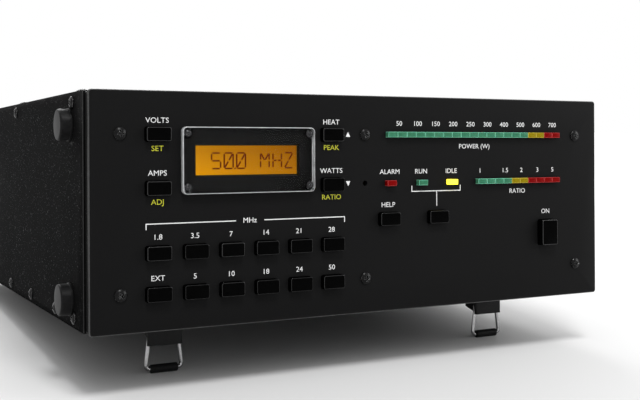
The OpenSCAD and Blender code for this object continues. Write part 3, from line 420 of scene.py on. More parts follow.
def bar(shape, low, high):
    """Prints a bar between two corners on the panel."""
    corners = [low, (high[0], low[1]), high, (low[0], high[1])]
    slab(shape, corners, -PRINT_LIFT - PRINT_T / 2, 1.5 * PRINT_T)


def triangle(shape, x, z, size):
    """Prints an arrow head that points up, or down where its size is negative."""
    across, rise = abs(size) / 2, size / 2
    corners = [(x - across, z - rise), (x + across, z - rise), (x, z + rise)]
    slab(shape, corners, -PRINT_LIFT - PRINT_T, PRINT_T)


LINE = 0.4
WHITE_WORDS = [("VOLTS", "volts_button", 5.8), ("AMPS", "amps_button", 6.3), ("HEAT", "heat_button", 5.8),
               ("WATTS", "watts_button", 6.3), ("EXT", "band_button_7", 6.55), ("HELP", "help_button", 6.6),
               ("ON", "on_button", 10.7)]
YELLOW_WORDS = [("SET", "volts_button", -6.1), ("ADJ", "amps_button", -5.9), ("PEAK", "heat_button", -5.9),
                ("RATIO", "watts_button", -5.8)]
UPPER_BANDS = ["1.8", "3.5", "7", "14", "21", "28"]
LOWER_BANDS = ["5", "10", "18", "24", "50"]
POWER_SCALE = ["50", "100", "150", "200", "250", "300", "400", "500", "600", "700"]
MATCH_SCALE = {"1": 0.5, "1.5": 3.5, "2": 5.5, "3": 7.5, "5": 9.4}
SEGMENTS = 20


def middle_of(node):
    low, high = case_box(node)
    return (low + high) / 2


def loose_parts(shape):
    """The separate solids of a shape, as lists of vertices."""
    left = set(shape.verts)
    parts = []
    while left:
        edge = [left.pop()]
        part = list(edge)
        while edge:
            vert = edge.pop()
            for link in vert.link_edges:
                other = link.other_vert(vert)
                if other in left:
                    left.remove(other)
                    edge.append(other)
                    part.append(other)
        parts.append(part)
    return parts


def part_boxes(node):
    """The low and high corners of each solid of a CAD node, in the case's frame and millimetres."""
    shape = merged_copy(node)
    boxes = [extent(part) for part in loose_parts(shape)]
    shape.free()
    return boxes


LAMP_BOXES = [box for node in ("green_leds", "yellow_leds", "red_leds") for box in part_boxes(node)]
row_between = (case_box("volts_button")[0].z + case_box("amps_button")[1].z) / 2
power_row = [box for box in LAMP_BOXES if box[0].z > row_between]
meter_left = min(low.x for low, high in power_row)
meter_right = max(high.x for low, high in power_row)
segment_step = (meter_right - meter_left) / SEGMENTS
match_left = meter_right - SEGMENTS / 2 * segment_step
power_z = (power_row[0][0].z + power_row[0][1].z) / 2
status_row = [box for box in LAMP_BOXES if box[0].z < row_between and box[1].x < match_left]
match_z = (status_row[0][0].z + status_row[0][1].z) / 2
status_x = sorted((low.x + high.x) / 2 for low, high in status_row)


def bracket(shape, left, right, rise, foot, gap=None):
    """Prints a line at a height, broken at a gap, with a foot at each end that reaches to another height."""
    stops = [left, right] if gap is None else [left, *gap, right]
    for start, end in zip(stops[::2], stops[1::2]):
        bar(shape, (start, rise - LINE / 2), (end, rise + LINE / 2))
    low, high = (foot, rise - LINE / 2) if foot < rise else (rise + LINE / 2, foot)
    for x in (left, right - LINE):
        bar(shape, (x, low), (x + LINE, high))


def print_legends():
    white, yellow = bmesh.new(), bmesh.new()
    by_buttons = [(yellow, *row) for row in YELLOW_WORDS] + [(white, *row) for row in WHITE_WORDS]
    by_buttons += [(white, word, f"band_button_{i}", 6.65) for i, word in enumerate(UPPER_BANDS, start=1)]
    by_buttons += [(white, word, f"band_button_{i}", 6.5) for i, word in enumerate(LOWER_BANDS, start=8)]
    for shape, word, button, rise in by_buttons:
        at = middle_of(button)
        stamp(shape, word, at.x, at.z + rise)
    for i, word in enumerate(POWER_SCALE):
        stamp(white, word, meter_left + (1.4 + 2 * i) * segment_step, power_z + 5.2)
    for word, at in MATCH_SCALE.items():
        stamp(white, word, match_left + at * segment_step, match_z + 5.2)
    for word, x in zip(("ALARM", "RUN", "IDLE"), status_x):
        stamp(white, word, x, match_z + 5.3)
    stamp(white, "POWER (W)", meter_left + 9.85 * segment_step, power_z - 5.7)
    stamp(white, "RATIO", match_left + 4.97 * segment_step, match_z - 5.3)
    for button, size in (("heat_button", 2.3), ("watts_button", -2.3)):
        at = middle_of(button)
        triangle(white, at.x + 8.8, at.z + 0.3, size)
    first, last = middle_of("band_button_1"), middle_of("band_button_6")
    above = first.z + 12.35
    word_at = (first.x + last.x) / 2 + 0.7
    stamp(white, "MHz", word_at, above)
    bracket(white, first.x - 5.3, last.x + 7, above, above - 2.45, gap=(word_at - 6.6, word_at + 6.9))
    below = match_z - 4.2
    bracket(white, status_x[1] - 5.5, status_x[2] + 5.5, below, below + 2.7)
    operate = middle_of("operate_button")
    bar(white, (operate.x - LINE / 2, operate.z + 5.3), (operate.x + LINE / 2, below - LINE / 2))
    for shape, name, ink in ((white, "white_legends", WHITE_INK), (yellow, "yellow_legends", YELLOW_INK)):
        keep(mesh_of(shape, name, ink), name, "case")


print_legends()

# --- Buttons --------------------------------------------------------------------------------------
# Eighteen small caps and the taller power button, moulded in black plastic. Their rounded edges are
# glossier and a little lighter than the faces, a painted highlight, and show as thin light lines.
BUTTON_BLACK = finish("button_plastic", (0.0007, 0.0007, 0.0007), (0.0018, 0.0018, 0.0019), rough=0.26,
                      spread=0.12, grain=900, cloud=60, bump=0.04, gloss=0.012)
# Painted highlight: the edge rounds are lighter and far glossier than the caps' faces.
BUTTON_EDGE_HIGHLIGHT = finish("rubbed_button_edge", (0.003, 0.003, 0.003), (0.01, 0.01, 0.01), rough=0.22,
                     spread=0.08, grain=900, cloud=60, bump=0.02, gloss=0.45)
for button in [name for name in frame["nodes"] if name.endswith("_button") or name.startswith("band_")]:
    soften(button, button + "_cap", BUTTON_BLACK, BUTTON_EDGE_HIGHLIGHT, 0.3, 3)

# --- Display --------------------------------------------------------------------------------------
# A backlit amber liquid crystal behind an opening, under a clear plastic window whose sawn edges catch
# the light. The characters are bars of fourteen-segment cells, dark red on amber.


def add_window():
    """The clear window: its broad faces clear, its rim and bevels a pale opaque colour, partly a frosted sawn edge
    and partly a painted highlight.
    """
    clear = finish("clear_window", (0.97, 0.975, 0.97), (0.99, 0.99, 0.99), rough=0.03, spread=0.02,
                   grain=60, cloud=25, bump=0.01, sockets={"Transmission Weight": 1, "IOR": 1.1})
    # Painted highlight: the rim and bevels are an opaque near-white, partly the frosted sawn edge, partly the
    # light that the edges catch.
    sawn = finish("sawn_edge", (0.5, 0.51, 0.52), (0.95, 0.96, 0.97), rough=0.2, grain=500, cloud=60,
                  bump=0.2)
    shape = merged_copy("display_window")
    low, high = case_box("display_window")
    for face in shape.faces:
        at = to_case @ face.calc_center_median() / MM
        rim = min(at.x - low.x, high.x - at.x, at.z - low.z, high.z - at.z) < 0.7
        face.material_index = 1 if rim else 0
    mesh = rounded_edges(shape, "window", clear, sawn, 0.3, 2, outer_edges("display_window"))
    keep(mesh, "display_window_clear", "case", "display_window")


add_window()

WINDOW = middle_of("display_window")
CHAR_W, CHAR_H = 4.2, 6.8
CHAR_Z = WINDOW.z - 0.25
STROKE = 0.7
BAR_GAP = 0.37
CELL = {"l": -0.5, "c": 0, "r": 0.5, "t": 0.5, "m": 0, "b": -0.5}
STROKES = {"5": "lt-rt lt-lm lm-rm rm-rb rb-lb", "0": "lt-rt rt-rb rb-lb lb-lt rt-cm cm-lb",
           "M": "lb-lm lm-lt lt-cm cm-rt rt-rm rm-rb", "H": "lb-lm lm-lt rb-rm rm-rt lm-cm cm-rm",
           "Z": "lt-rt rt-cm cm-lb lb-rb"}
DISPLAYED = [("5", -14.4), ("0", -8.5), ("0", -2.6), ("M", 8.9), ("H", 15.0), ("Z", 20.7)]
POINT_AT = -5.5


def amber_light():
    """The backlight: brightest at its lower left corner, and duller to the top and right."""
    material, tree, shader = shaded("amber_backlight", {
        "Base Color": (0.03, 0.012, 0.0005, 1), "Emission Strength": 1, "Specular IOR Level": 0.01,
        "Roughness": 0.4})
    place = tree.nodes.new("ShaderNodeTexCoord").outputs["Object"]
    split = node_of(tree, "ShaderNodeSeparateXYZ", {"Vector": place}).outputs
    low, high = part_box("lcd_module")
    margin = 5 * MM
    shares = []
    for axis, start, end, weight in (("X", low.x, high.x, 0.6), ("Z", low.z + margin, high.z - margin, 0.4)):
        feeds = {"Value": split[axis], "From Min": start, "From Max": end, "To Max": weight}
        shares.append(node_of(tree, "ShaderNodeMapRange", feeds).outputs["Result"])
    ramp = node_of(tree, "ShaderNodeValToRGB", {"Fac": sum_of(tree, "ADD", *shares)})
    ramp.color_ramp.elements[0].color = (0.78, 0.34, 0.0006, 1)
    ramp.color_ramp.elements[1].color = (0.2, 0.062, 0.0004, 1)
    ramp.color_ramp.elements.new(0.45).color = (0.44, 0.18, 0.0006, 1)
    tree.links.new(ramp.outputs["Color"], shader["Emission Color"])
    return material


def lcd_mesh(name, slabs, front, depth, look):
    """Slabs on the display's glass, each from its corners on the panel, in millimetres."""
    shape = bmesh.new()
    for corners in slabs:
        slab(shape, corners, front, depth)
    return mesh_of(shape, name, look)


def cell_bar(middle_x, ends):
    """The corners of one bar of a character, thinned at its ends so that bars stay apart."""
    a, b = [Vector((middle_x + CELL[end[0]] * CHAR_W, CHAR_Z + CELL[end[1]] * CHAR_H)) for end in ends]
    along = (b - a).normalized()
    across = Vector((-along.y, along.x)) * STROKE / 2
    a += along * BAR_GAP
    b -= along * BAR_GAP
    return [a + across, a - across, b - across, b + across]


def square(x, z, half_w, half_h):
    """The corners of a rectangle on the panel about a middle."""
    return [(x - half_w, z - half_h), (x + half_w, z - half_h), (x + half_w, z + half_h),
            (x - half_w, z + half_h)]


def add_display():
    glass = case_box("lcd_module")[0].y
    # The lit field stops short of the opening, so the dark module shows in a thin margin: its bezel at the bottom,
    # a painted shadow along the top.
    lit = square(WINDOW.x, WINDOW.z, 24.7, 6.4)
    field = lcd_mesh("amber_field", [lit], glass - 0.12, 0.1, amber_light())
    bars = [cell_bar(WINDOW.x + at, ends.split("-"))
            for sign, at in DISPLAYED for ends in STROKES[sign].split()]
    dot = STROKE * 0.55
    bars.append(square(WINDOW.x + POINT_AT, CHAR_Z - CHAR_H / 2, dot, dot))
    ink = finish("crystal_bars", (0.06, 0.006, 0.0005), (0.1, 0.012, 0.001), rough=0.5, bump=0, gloss=0.05,
                 sockets={"Emission Color": (0.1, 0.008, 0, 1), "Emission Strength": 0.5})
    signs = lcd_mesh("display_characters", bars, glass - 0.2, 0.06, ink)
    keep(field, "amber_field", "case")
    keep(signs, "display_characters", "case")
    put_on("lcd_module", finish("display_bezel", (0.006, 0.006, 0.006), (0.02, 0.02, 0.02), rough=0.4,
                                gloss=0.1))


add_display()

# --- Meters and status lamps ----------------------------------------------------------------------
# Rectangular LEDs of diffused plastic side by side: green, then yellow, then red. Their square faces
# stand proud in a row, and only the idle lamp is lit.
LAMP_ROUND = 0.22


def lamp_plastic(name, color, pale, glow):
    return finish(name, color, pale, rough=0.3, spread=0.1, grain=700, cloud=180, bump=0.05, gloss=0.04,
                  sockets={"Subsurface Weight": 0.2, "Subsurface Scale": 0.001,
                           "Emission Color": (*pale, 1), "Emission Strength": glow})


def add_lamps():
    looks = {}
    # Painted glow and highlight: the unlit faces glow faintly, and their rounded rims are a much lighter colour
    # that glows more.
    for name, color, pale, rim, pale_rim_highlight in (
            ("green", (0.03, 0.14, 0.075), (0.06, 0.24, 0.14), (0.12, 0.5, 0.32), (0.4, 0.85, 0.65)),
            ("red", (0.14, 0.0006, 0.0006), (0.22, 0.001, 0.001), (0.4, 0.01, 0.01), (0.7, 0.14, 0.14)),
            ("yellow", (0.2, 0.145, 0.002), (0.29, 0.22, 0.004), (0.5, 0.37, 0.01), (0.8, 0.7, 0.2))):
        looks[name] = (lamp_plastic(name + "_lamp", color, pale, 0.1),
                       lamp_plastic(name + "_lamp_rim", rim, pale_rim_highlight, 0.25))
    glowing = lamp_plastic("lit_lamp", (0.7, 0.6, 0.03), (0.85, 0.68, 0.04), 2.6)
    for name in ("green", "red"):
        soften(name + "_leds", name + "_lamps", *looks[name], LAMP_ROUND)
    for name, pair, is_status in (("yellow_lamps", looks["yellow"], False),
                                  ("idle_lamp", (glowing, glowing), True)):
        shape = merged_copy("yellow_leds")
        for part in loose_parts(shape):
            if ((to_case @ part[0].co).x < match_left * MM) != is_status:
                bmesh.ops.delete(shape, geom=part, context="VERTS")
        keep(rounded_edges(shape, name, *pair, LAMP_ROUND), name, "case", "yellow_leds")


add_lamps()

# --- Screws ---------------------------------------------------------------------------------------
# Black cross-head machine screws hold the panels, and small plated ones the display window. A node tree
# sets one turned head and its shank on every seat, each screw left at its own angle by the driver.


def turned(name, profile, sides=32):
    """A shape turned about z from points of radius and height, in millimetres."""
    shape = bmesh.new()
    ring = [shape.verts.new((radius * MM, 0, height * MM)) for radius, height in profile]
    path = [shape.edges.new(pair) for pair in zip(ring, ring[1:])]
    bmesh.ops.spin(shape, geom=ring + path, cent=(0, 0, 0), axis=(0, 0, 1), angle=2 * math.pi, steps=sides)
    bmesh.ops.remove_doubles(shape, verts=shape.verts, dist=0.0005 * MM)
    bmesh.ops.recalc_face_normals(shape, faces=shape.faces)
    return smooth_between(mesh_of(shape, name), 32)


def smooth_between(mesh, degrees):
    """The mesh in smooth shading, broken where two faces meet at more than the angle."""
    edges = bmesh.new()
    edges.from_mesh(mesh)
    for face in edges.faces:
        face.smooth = True
    for edge in edges.edges:
        edge.smooth = edge.calc_face_angle(math.pi) < math.radians(degrees)
    edges.to_mesh(mesh)
    edges.free()
    return mesh


def cross_head():
    """A domed screw head one millimetre in radius and in height, with a cross recess."""
    dome = [(0, 0), (1, 0), (1, 0.4), (0.78, 0.66), (0.58, 0.84), (0.3, 0.96), (0, 1)]
    slot_l, slot_w, slot_floor, slot_h, narrowing = 1.2, 0.3, 0.25, 0.85, 0.45
    head = stand("head", turned("head", dome, 28))
    for across in (0, 90):
        slot = bmesh.new()
        bmesh.ops.create_cube(slot, size=1)
        for vert in slot.verts:
            wide = 1 if vert.co.z > 0 else narrowing
            vert.co.x *= slot_l * wide
            vert.co.y *= slot_w * wide
            vert.co.z = slot_floor + slot_h * (vert.co.z + 0.5)
        turn = Matrix.Rotation(math.radians(across), 4, "Z") @ Matrix.Scale(MM, 4)
        bmesh.ops.transform(slot, verts=slot.verts, matrix=turn)
        cutter = stand("slot", mesh_of(slot, "slot"))
        cut = head.modifiers.new("recess", "BOOLEAN")
        cut.operation = "DIFFERENCE"
        cut.object = cutter
        mesh = plain_mesh(head)
        bpy.data.objects.remove(cutter)
        head = stand("head", mesh)
    # A narrow bevel on the rims of the head and its recess takes the edge finish: partly worn oxide, partly a
    # painted glint.
    rubbed = head.modifiers.new("rubbed", "BEVEL")
    rubbed.width = 0.13 * MM
    rubbed.segments = 1
    rubbed.angle_limit = math.radians(40)
    rubbed.material = 1
    head.data.materials.append(BLACK_OXIDE)
    head.data.materials.append(WORN_OXIDE_GLINT)
    mesh = smooth_between(plain_mesh(head), 32)
    edges = mesh.attributes.new("rubbed", "BOOLEAN", "FACE")
    for face in mesh.polygons:
        edges.data[face.index].value = face.material_index == 1
    return stand("head", mesh)


def attribute(tree, name, data="FLOAT_VECTOR"):
    """The socket of a named attribute."""
    node = node_of(tree, "GeometryNodeInputNamedAttribute", {"Name": name}, data_type=data)
    return node.outputs["Attribute"]


def coated(tree, shape, coat):
    """The shape with its instances realized, in a coat."""
    real = node_of(tree, "GeometryNodeRealizeInstances", {"Geometry": shape}).outputs["Geometry"]
    return node_of(tree, "GeometryNodeSetMaterial", {"Geometry": real, "Material": coat}).outputs["Geometry"]


def screw_tree():
    """Geometry nodes: a head and a shank on every seat, facing the way that the seat says."""
    takes = {"Seats": "Geometry", "Head": "Object", "Shank": "Object", "Most Turn": "Float",
             "Finish": "Material", "Edge Finish": "Material"}
    tree, given, result = group_of("GeometryNodeTree", "set_screws", takes, {"Screws": "Geometry"})
    facing = {"Vector": attribute(tree, "facing")}
    upright = node_of(tree, "FunctionNodeAlignRotationToVector", facing, axis="Z").outputs["Rotation"]
    driven = node_of(tree, "FunctionNodeRandomValue", {"Seed": 7}, data_type="FLOAT")
    tree.links.new(given["Most Turn"], next(s for s in driven.inputs if s.name == "Max" and s.enabled))
    about = node_of(tree, "ShaderNodeCombineXYZ", {"Z": next(s for s in driven.outputs if s.enabled)})
    turn = node_of(tree, "FunctionNodeRotateRotation",
                   {"Rotation": upright, "Rotate By": about.outputs["Vector"]}, rotation_space="LOCAL")
    join = tree.nodes.new("GeometryNodeJoinGeometry")
    for part, size in (("Head", "head_size"), ("Shank", "shank_size")):
        shape = node_of(tree, "GeometryNodeObjectInfo", {"Object": given[part]}).outputs["Geometry"]
        placed = node_of(tree, "GeometryNodeInstanceOnPoints", {
            "Points": given["Seats"], "Instance": shape, "Rotation": turn.outputs["Rotation"],
            "Scale": attribute(tree, size)})
        tree.links.new(placed.outputs["Instances"], join.inputs["Geometry"])
    # The marked rims of every head take the edge finish, a painted glint.
    edges = node_of(tree, "GeometryNodeSetMaterial", {
        "Geometry": coated(tree, join.outputs["Geometry"], given["Finish"]),
        "Selection": attribute(tree, "rubbed", "BOOLEAN"), "Material": given["Edge Finish"]})
    tree.links.new(edges.outputs["Geometry"], result["Screws"])
    return tree


def grown(source, tree, name, **given):
    """The plain mesh that a node tree makes of an object's mesh or curve."""
    piece = stand(name, source)
    grow = piece.modifiers.new("grow", "NODES")
    grow.node_group = tree
    for item in tree.interface.items_tree:
        key = item.name.lower().replace(" ", "_")
        if item.item_type == "SOCKET" and item.in_out == "INPUT" and key in given:
            grow[item.identifier] = given[key]
    mesh = plain_mesh(piece)
    mesh.name = name
    return mesh


def screw_seat(part):
    """A screw's seat from its solid: place, facing, head and shank sizes, or nothing if it is no screw."""
    points = [to_case @ vert.co / MM for vert in part]
    low, high = extent(part)
    size = high - low
    for axis in range(3):
        a, b = [i for i in range(3) if i != axis]
        if abs(size[a] - size[b]) > 0.02:
            continue
        middle = (low + high) / 2
        radius = size[a] / 2
        away = [math.hypot(point[a] - middle[a], point[b] - middle[b]) for point in points]
        rim = [point[axis] for point, reach in zip(points, away) if reach > 0.98 * radius]
        up = high[axis] - max(rim) < min(rim) - low[axis]
        seat, tip, top = (min(rim), low[axis], high[axis]) if up else (max(rim), high[axis], low[axis])
        shank = max(reach for point, reach in zip(points, away) if abs(point[axis] - tip) < 0.01)
        if shank > 0.8 * radius:
            continue
        middle[axis] = seat
        facing = Vector((0, 0, 0))
        facing[axis] = 1 if up else -1
        return {"at": middle, "facing": facing, "head_size": (radius, radius, abs(top - seat)),
                "shank_size": (shank, shank, abs(tip - seat))}
    return None


def seats_mesh(seats):
    """The seats as points that carry each screw's facing and sizes."""
    mesh = bpy.data.meshes.new("seats")
    mesh.from_pydata([case_frame @ (seat["at"] * MM) for seat in seats], [], [])
    for name in ("facing", "head_size", "shank_size"):
        layer = mesh.attributes.new(name, "FLOAT_VECTOR", "POINT")
        for value, seat in zip(layer.data, seats):
            value.vector = case_frame.to_3x3() @ seat[name] if name == "facing" else seat[name]
    return mesh


BLACK_OXIDE = finish("black_oxide", (0.001, 0.001, 0.0011), (0.008, 0.008, 0.0084), rough=0.26, grain=1500,
                     cloud=900, bump=0.15, gloss=0.14)
# Painted glint: the edge finishes are bright metal against the near-black heads, partly worn plating.
WORN_OXIDE_GLINT = finish("rubbed_oxide", (0.12, 0.12, 0.12), (0.95, 0.95, 0.96), rough=0.2, spread=0.1, grain=1100,
                cloud=400, bump=0.1, metal=1)
PLATED = finish("plated_steel", (0.015, 0.015, 0.0155), (0.09, 0.09, 0.095), rough=0.16, spread=0.1,
                cloud=900, bump=0.1, metal=1)
PLATED_EDGE_GLINT = finish("plated_edge", (0.35, 0.35, 0.36), (0.9, 0.9, 0.92), rough=0.14, spread=0.1, grain=900,
                     cloud=600, bump=0.05, metal=1)
HEAD = cross_head()
SHANK = stand("shank", turned("shank", [(0, 0), (1, 0), (1, -0.96), (0.9, -1), (0, -1)], 16))
SET_SCREWS = screw_tree()
SMALL_HEAD = 2.2


def set_screws(node, name, small_look):
    """Stands turned screws in the place of a node's, the small ones in a finish of their own."""
    shape = merged_copy(node)
    groups = {}
    for part in loose_parts(shape):
        seat = screw_seat(part)
        if seat:
            small = seat["head_size"][0] < SMALL_HEAD
            groups.setdefault(small, []).append(seat)
            bmesh.ops.delete(shape, geom=part, context="VERTS")
    for small, seats in groups.items():
        title = name + ("_small" if small else "")
        look, edge_look = small_look if small else (BLACK_OXIDE, WORN_OXIDE_GLINT)
        mesh = grown(seats_mesh(seats), SET_SCREWS, title, head=HEAD, shank=SHANK, most_turn=math.pi / 2,
                     finish=look, edge_finish=edge_look)
        keep(mesh, title, body_of(node), node)
    if shape.verts:
        nuts = rounded_edges(shape, name + "_nuts", PLATED, PLATED_EDGE_GLINT, 0.15, 1)
        keep(nuts, name + "_nuts", body_of(node), node)
    else:
        shape.free()


set_screws("front_screws", "panel_screws", (PLATED, PLATED_EDGE_GLINT))
set_screws("case_screws", "sheet_screws", (BLACK_OXIDE, WORN_OXIDE_GLINT))

# --- Case -----------------------------------------------------------------------------------------
# Sheet steel sides, bottom, top and rear in a textured black powder coat with a few bright grains in it,
# screwed to small alloy blocks in the corners.
CASE_BLACK = finish("case_powder_coat", (0.003, 0.003, 0.0031), (0.012, 0.012, 0.0122), rough=0.7,
                    grain=1400, cloud=35, bump=0.6, sparkle=0.75, gloss=0.008)
# Painted highlight: the rounds on the sheets' outer edges are a lighter coat than the faces, partly worn coat,
# partly the light along the edges.
CASE_EDGE_AND_HIGHLIGHT = finish("case_edge_coat", (0.01, 0.01, 0.01), (0.04, 0.04, 0.04), rough=0.45, grain=700, cloud=50,
                   bump=0.3, gloss=0.2)
for node, name in (("left_side_panel", "left_side"), ("right_side_panel", "right_side"), ("top_cover", "top"),
                   ("bottom_panel", "bottom"), ("rear_panel", "rear")):
    soften(node, name + "_sheet", CASE_BLACK, CASE_EDGE_AND_HIGHLIGHT, 0.3, 2, outer_edges(node))
put_on("corner_blocks", finish("milled_alloy", (0.55, 0.55, 0.57), (0.7, 0.7, 0.71), rough=0.35, metal=1))

# --- Feet, bails and handle -----------------------------------------------------------------------
# Rubber discs on the sides and at the rear, moulded brackets with folding wire bails under the front,
# and a vinyl strap with moulded end caps on the right side.
RUBBER = finish("dark_rubber", (0.008, 0.008, 0.0083), (0.02, 0.02, 0.0205), rough=0.42, grain=800, bump=0.2,
                gloss=0.07)
BRACKET = finish("bracket_plastic", (0.007, 0.007, 0.0072), (0.015, 0.015, 0.0152), rough=0.5, grain=1200,
                 bump=0.2, gloss=0.15)
BRIGHT_WIRE = finish("bright_wire", (0.3, 0.3, 0.305), (0.55, 0.55, 0.55), rough=0.18, grain=600, cloud=90,
                     bump=0.05, metal=1)
VINYL = finish("strap_vinyl", (0.009, 0.009, 0.009), (0.022, 0.022, 0.022), rough=0.5, grain=500, bump=0.5,
               gloss=0.2)
for node, name, look, width, segments in (
        ("side_feet", "side_bumpers", RUBBER, 0.6, 3), ("rear_feet", "rear_pads", RUBBER, 0.8, 3),
        ("bail_brackets", "bail_blocks", BRACKET, 0.3, 2), ("strap_handle", "strap", VINYL, 0.9, 3),
        ("handle_end_caps", "handle_caps", BRACKET, 0.9, 3)):
    soften(node, name, look, look, width, segments)


def wire_tree():
    """Geometry nodes: a round wire along a path, with its corners bent to a radius."""
    takes = {"Path": "Geometry", "Radius": "Float", "Bend": "Float", "Finish": "Material"}
    tree, given, result = group_of("GeometryNodeTree", "bent_wire", takes, {"Wire": "Geometry"})
    bend = node_of(tree, "GeometryNodeFilletCurve", {
        "Curve": given["Path"], "Radius": given["Bend"], "Count": 8, "Limit Radius": True}, mode="POLY")
    section = node_of(tree, "GeometryNodeCurvePrimitiveCircle", {"Radius": given["Radius"], "Resolution": 14})
    drawn = node_of(tree, "GeometryNodeCurveToMesh", {
        "Curve": bend.outputs["Curve"], "Profile Curve": section.outputs["Curve"], "Fill Caps": True})
    tree.links.new(coated(tree, drawn.outputs["Mesh"], given["Finish"]), result["Wire"])
    return tree


BENT_WIRE = wire_tree()


def wire_mesh(name, runs, radius, bend, look):
    """Wire along runs of points in the case's frame, in millimetres; a run may be a closed ring."""
    curve = bpy.data.curves.new(name, "CURVE")
    curve.dimensions = "3D"
    for points, closed in runs:
        spline = curve.splines.new("POLY")
        spline.points.add(len(points) - 1)
        spline.use_cyclic_u = closed
        for point, at in zip(spline.points, points):
            point.co = (*(case_frame @ (Vector(at) * MM)), 1)
    mesh = grown(curve, BENT_WIRE, name, radius=radius * MM, bend=bend * MM, finish=look)
    return smooth_between(mesh, 40)


def add_bail(node):
    """A bail's bent wire with its pins turned in, and the dark sleeve on its cross bar."""
    wire_r, sleeve_r, pin_l, splay = 1.0, 2.0, 3.7, 2.0
    low, high = case_box(node)
    x, y = (low.x + high.x) / 2, (low.y + high.y) / 2
    pivot_z = high.z - 1.04 * wire_r
    bar_z = low.z + sleeve_r
    foot = (high.x - low.x) / 2 - 1.04 * wire_r
    top = foot - splay
    path = [(x - top + pin_l, y, pivot_z), (x - top, y, pivot_z), (x - foot, y, bar_z), (x + foot, y, bar_z),
            (x + top, y, pivot_z), (x + top - pin_l, y, pivot_z)]
    wire = wire_mesh(node + "_wire", [(path, False)], wire_r, 1.6, BRIGHT_WIRE)
    keep(wire, node + "_wire", body_of(node), node)
    bore, half = wire_r + 0.05, foot - 2.2
    sleeve = turned(node + "_sleeve", [(bore, -half), (sleeve_r - 0.3, -half), (sleeve_r, 0.3 - half),
                                       (sleeve_r, half - 0.3), (sleeve_r - 0.3, half), (bore, half),
                                       (bore, -half)], 24)
    sleeve.materials.append(RUBBER)
    sleeve.transform(at_case(x, y, bar_z) @ Matrix.Rotation(math.radians(90), 4, "Y"))
    keep(sleeve, node + "_sleeve", body_of(node), node)


add_bail("left_bail")
add_bail("right_bail")

# --- Fan ------------------------------------------------------------------------------------------
# A moulded axial fan with seven swept blades behind a plated wire guard, screwed to the rear panel. The
# rotor turns on its own body, so its hub and blades are one piece there.
FAN_BLACK = finish("fan_plastic", (0.010, 0.010, 0.0105), (0.022, 0.022, 0.0225), rough=0.4, bump=0.1,
                   gloss=0.25)
WHEEL_GREY = finish("fan_wheel_plastic", (0.03, 0.03, 0.031), (0.055, 0.055, 0.056), rough=0.38, bump=0.08,
                    gloss=0.35)
soften("fan_frame", "fan_housing", FAN_BLACK, FAN_BLACK, 0.4, 2)
onto_rear = Matrix.Rotation(math.radians(-90), 4, "X")


def ring_tree():
    """Geometry nodes: copies of a shape, evenly round its z axis."""
    takes = {"Hub": "Geometry", "Blade": "Object", "Count": "Int", "Finish": "Material"}
    tree, given, result = group_of("GeometryNodeTree", "ring_of_blades", takes, {"Rotor": "Geometry"})
    points = node_of(tree, "GeometryNodePoints", {"Count": given["Count"]}).outputs["Points"]
    shape = node_of(tree, "GeometryNodeObjectInfo", {"Object": given["Blade"]}).outputs["Geometry"]
    number = tree.nodes.new("GeometryNodeInputIndex").outputs["Index"]
    angle = sum_of(tree, "MULTIPLY", sum_of(tree, "DIVIDE", number, given["Count"]), 2 * math.pi)
    about = node_of(tree, "ShaderNodeCombineXYZ", {"Z": angle}).outputs["Vector"]
    placed = node_of(tree, "GeometryNodeInstanceOnPoints", {"Points": points, "Instance": shape,
                                                            "Rotation": about})
    join = node_of(tree, "GeometryNodeJoinGeometry", {"Geometry": given["Hub"]})
    tree.links.new(placed.outputs["Instances"], join.inputs["Geometry"])
    tree.links.new(coated(tree, join.outputs["Geometry"], given["Finish"]), result["Rotor"])
    return tree


def blade_mesh(root, tip, deep):
    """One swept blade from the hub to its tip, curved along its chord, in millimetres."""
    rows, columns = 7, 9
    sweep, chord, camber, thickness = 0.28, 0.78, 1.6, 1.5
    shape = bmesh.new()
    grid = []
    for i in range(rows):
        out = i / (rows - 1)
        radius = root + (tip - root) * out
        grid.append([])
        for k in range(columns):
            along = k / (columns - 1)
            angle = sweep * out + (along - 0.5) * chord
            height = deep * (along - 0.5) + camber * math.sin(math.pi * along)
            at = Vector((radius * math.cos(angle), radius * math.sin(angle), height)) * MM
            grid[i].append(shape.verts.new(at))
    for near, far in zip(grid, grid[1:]):
        for k in range(columns - 1):
            shape.faces.new((near[k], far[k], far[k + 1], near[k + 1]))
    piece = stand("blade", mesh_of(shape, "blade"))
    thick = piece.modifiers.new("thickness", "SOLIDIFY")
    thick.thickness = thickness * MM
    thick.offset = 0
    return stand("blade", smooth_between(plain_mesh(piece), 50))


def add_fan():
    low, high = case_box("fan_rotor")
    centre = (low + high) / 2
    hub_r, tip = 19, (high.x - low.x) / 2
    back = case_box("fan_frame")[1].y - 5
    deep = back - low.y
    end = deep / 2
    hub = turned("hub", [(0, -end), (hub_r - 1.5, -end), (hub_r, 1.5 - end), (hub_r, end - 2),
                         (hub_r - 2, end), (9, end), (8.6, end - 0.4), (0, end - 0.4)], 48)
    blade = blade_mesh(hub_r - 0.6, tip - 0.4, deep - 5)
    rotor = grown(hub, ring_tree(), "fan_wheel", blade=blade, count=7, finish=WHEEL_GREY)
    bpy.data.objects.remove(blade)
    rotor.transform(at_case(centre.x, (low.y + back) / 2, centre.z) @ onto_rear)
    keep(rotor, "fan_wheel", body_of("fan_rotor"), "fan_rotor")


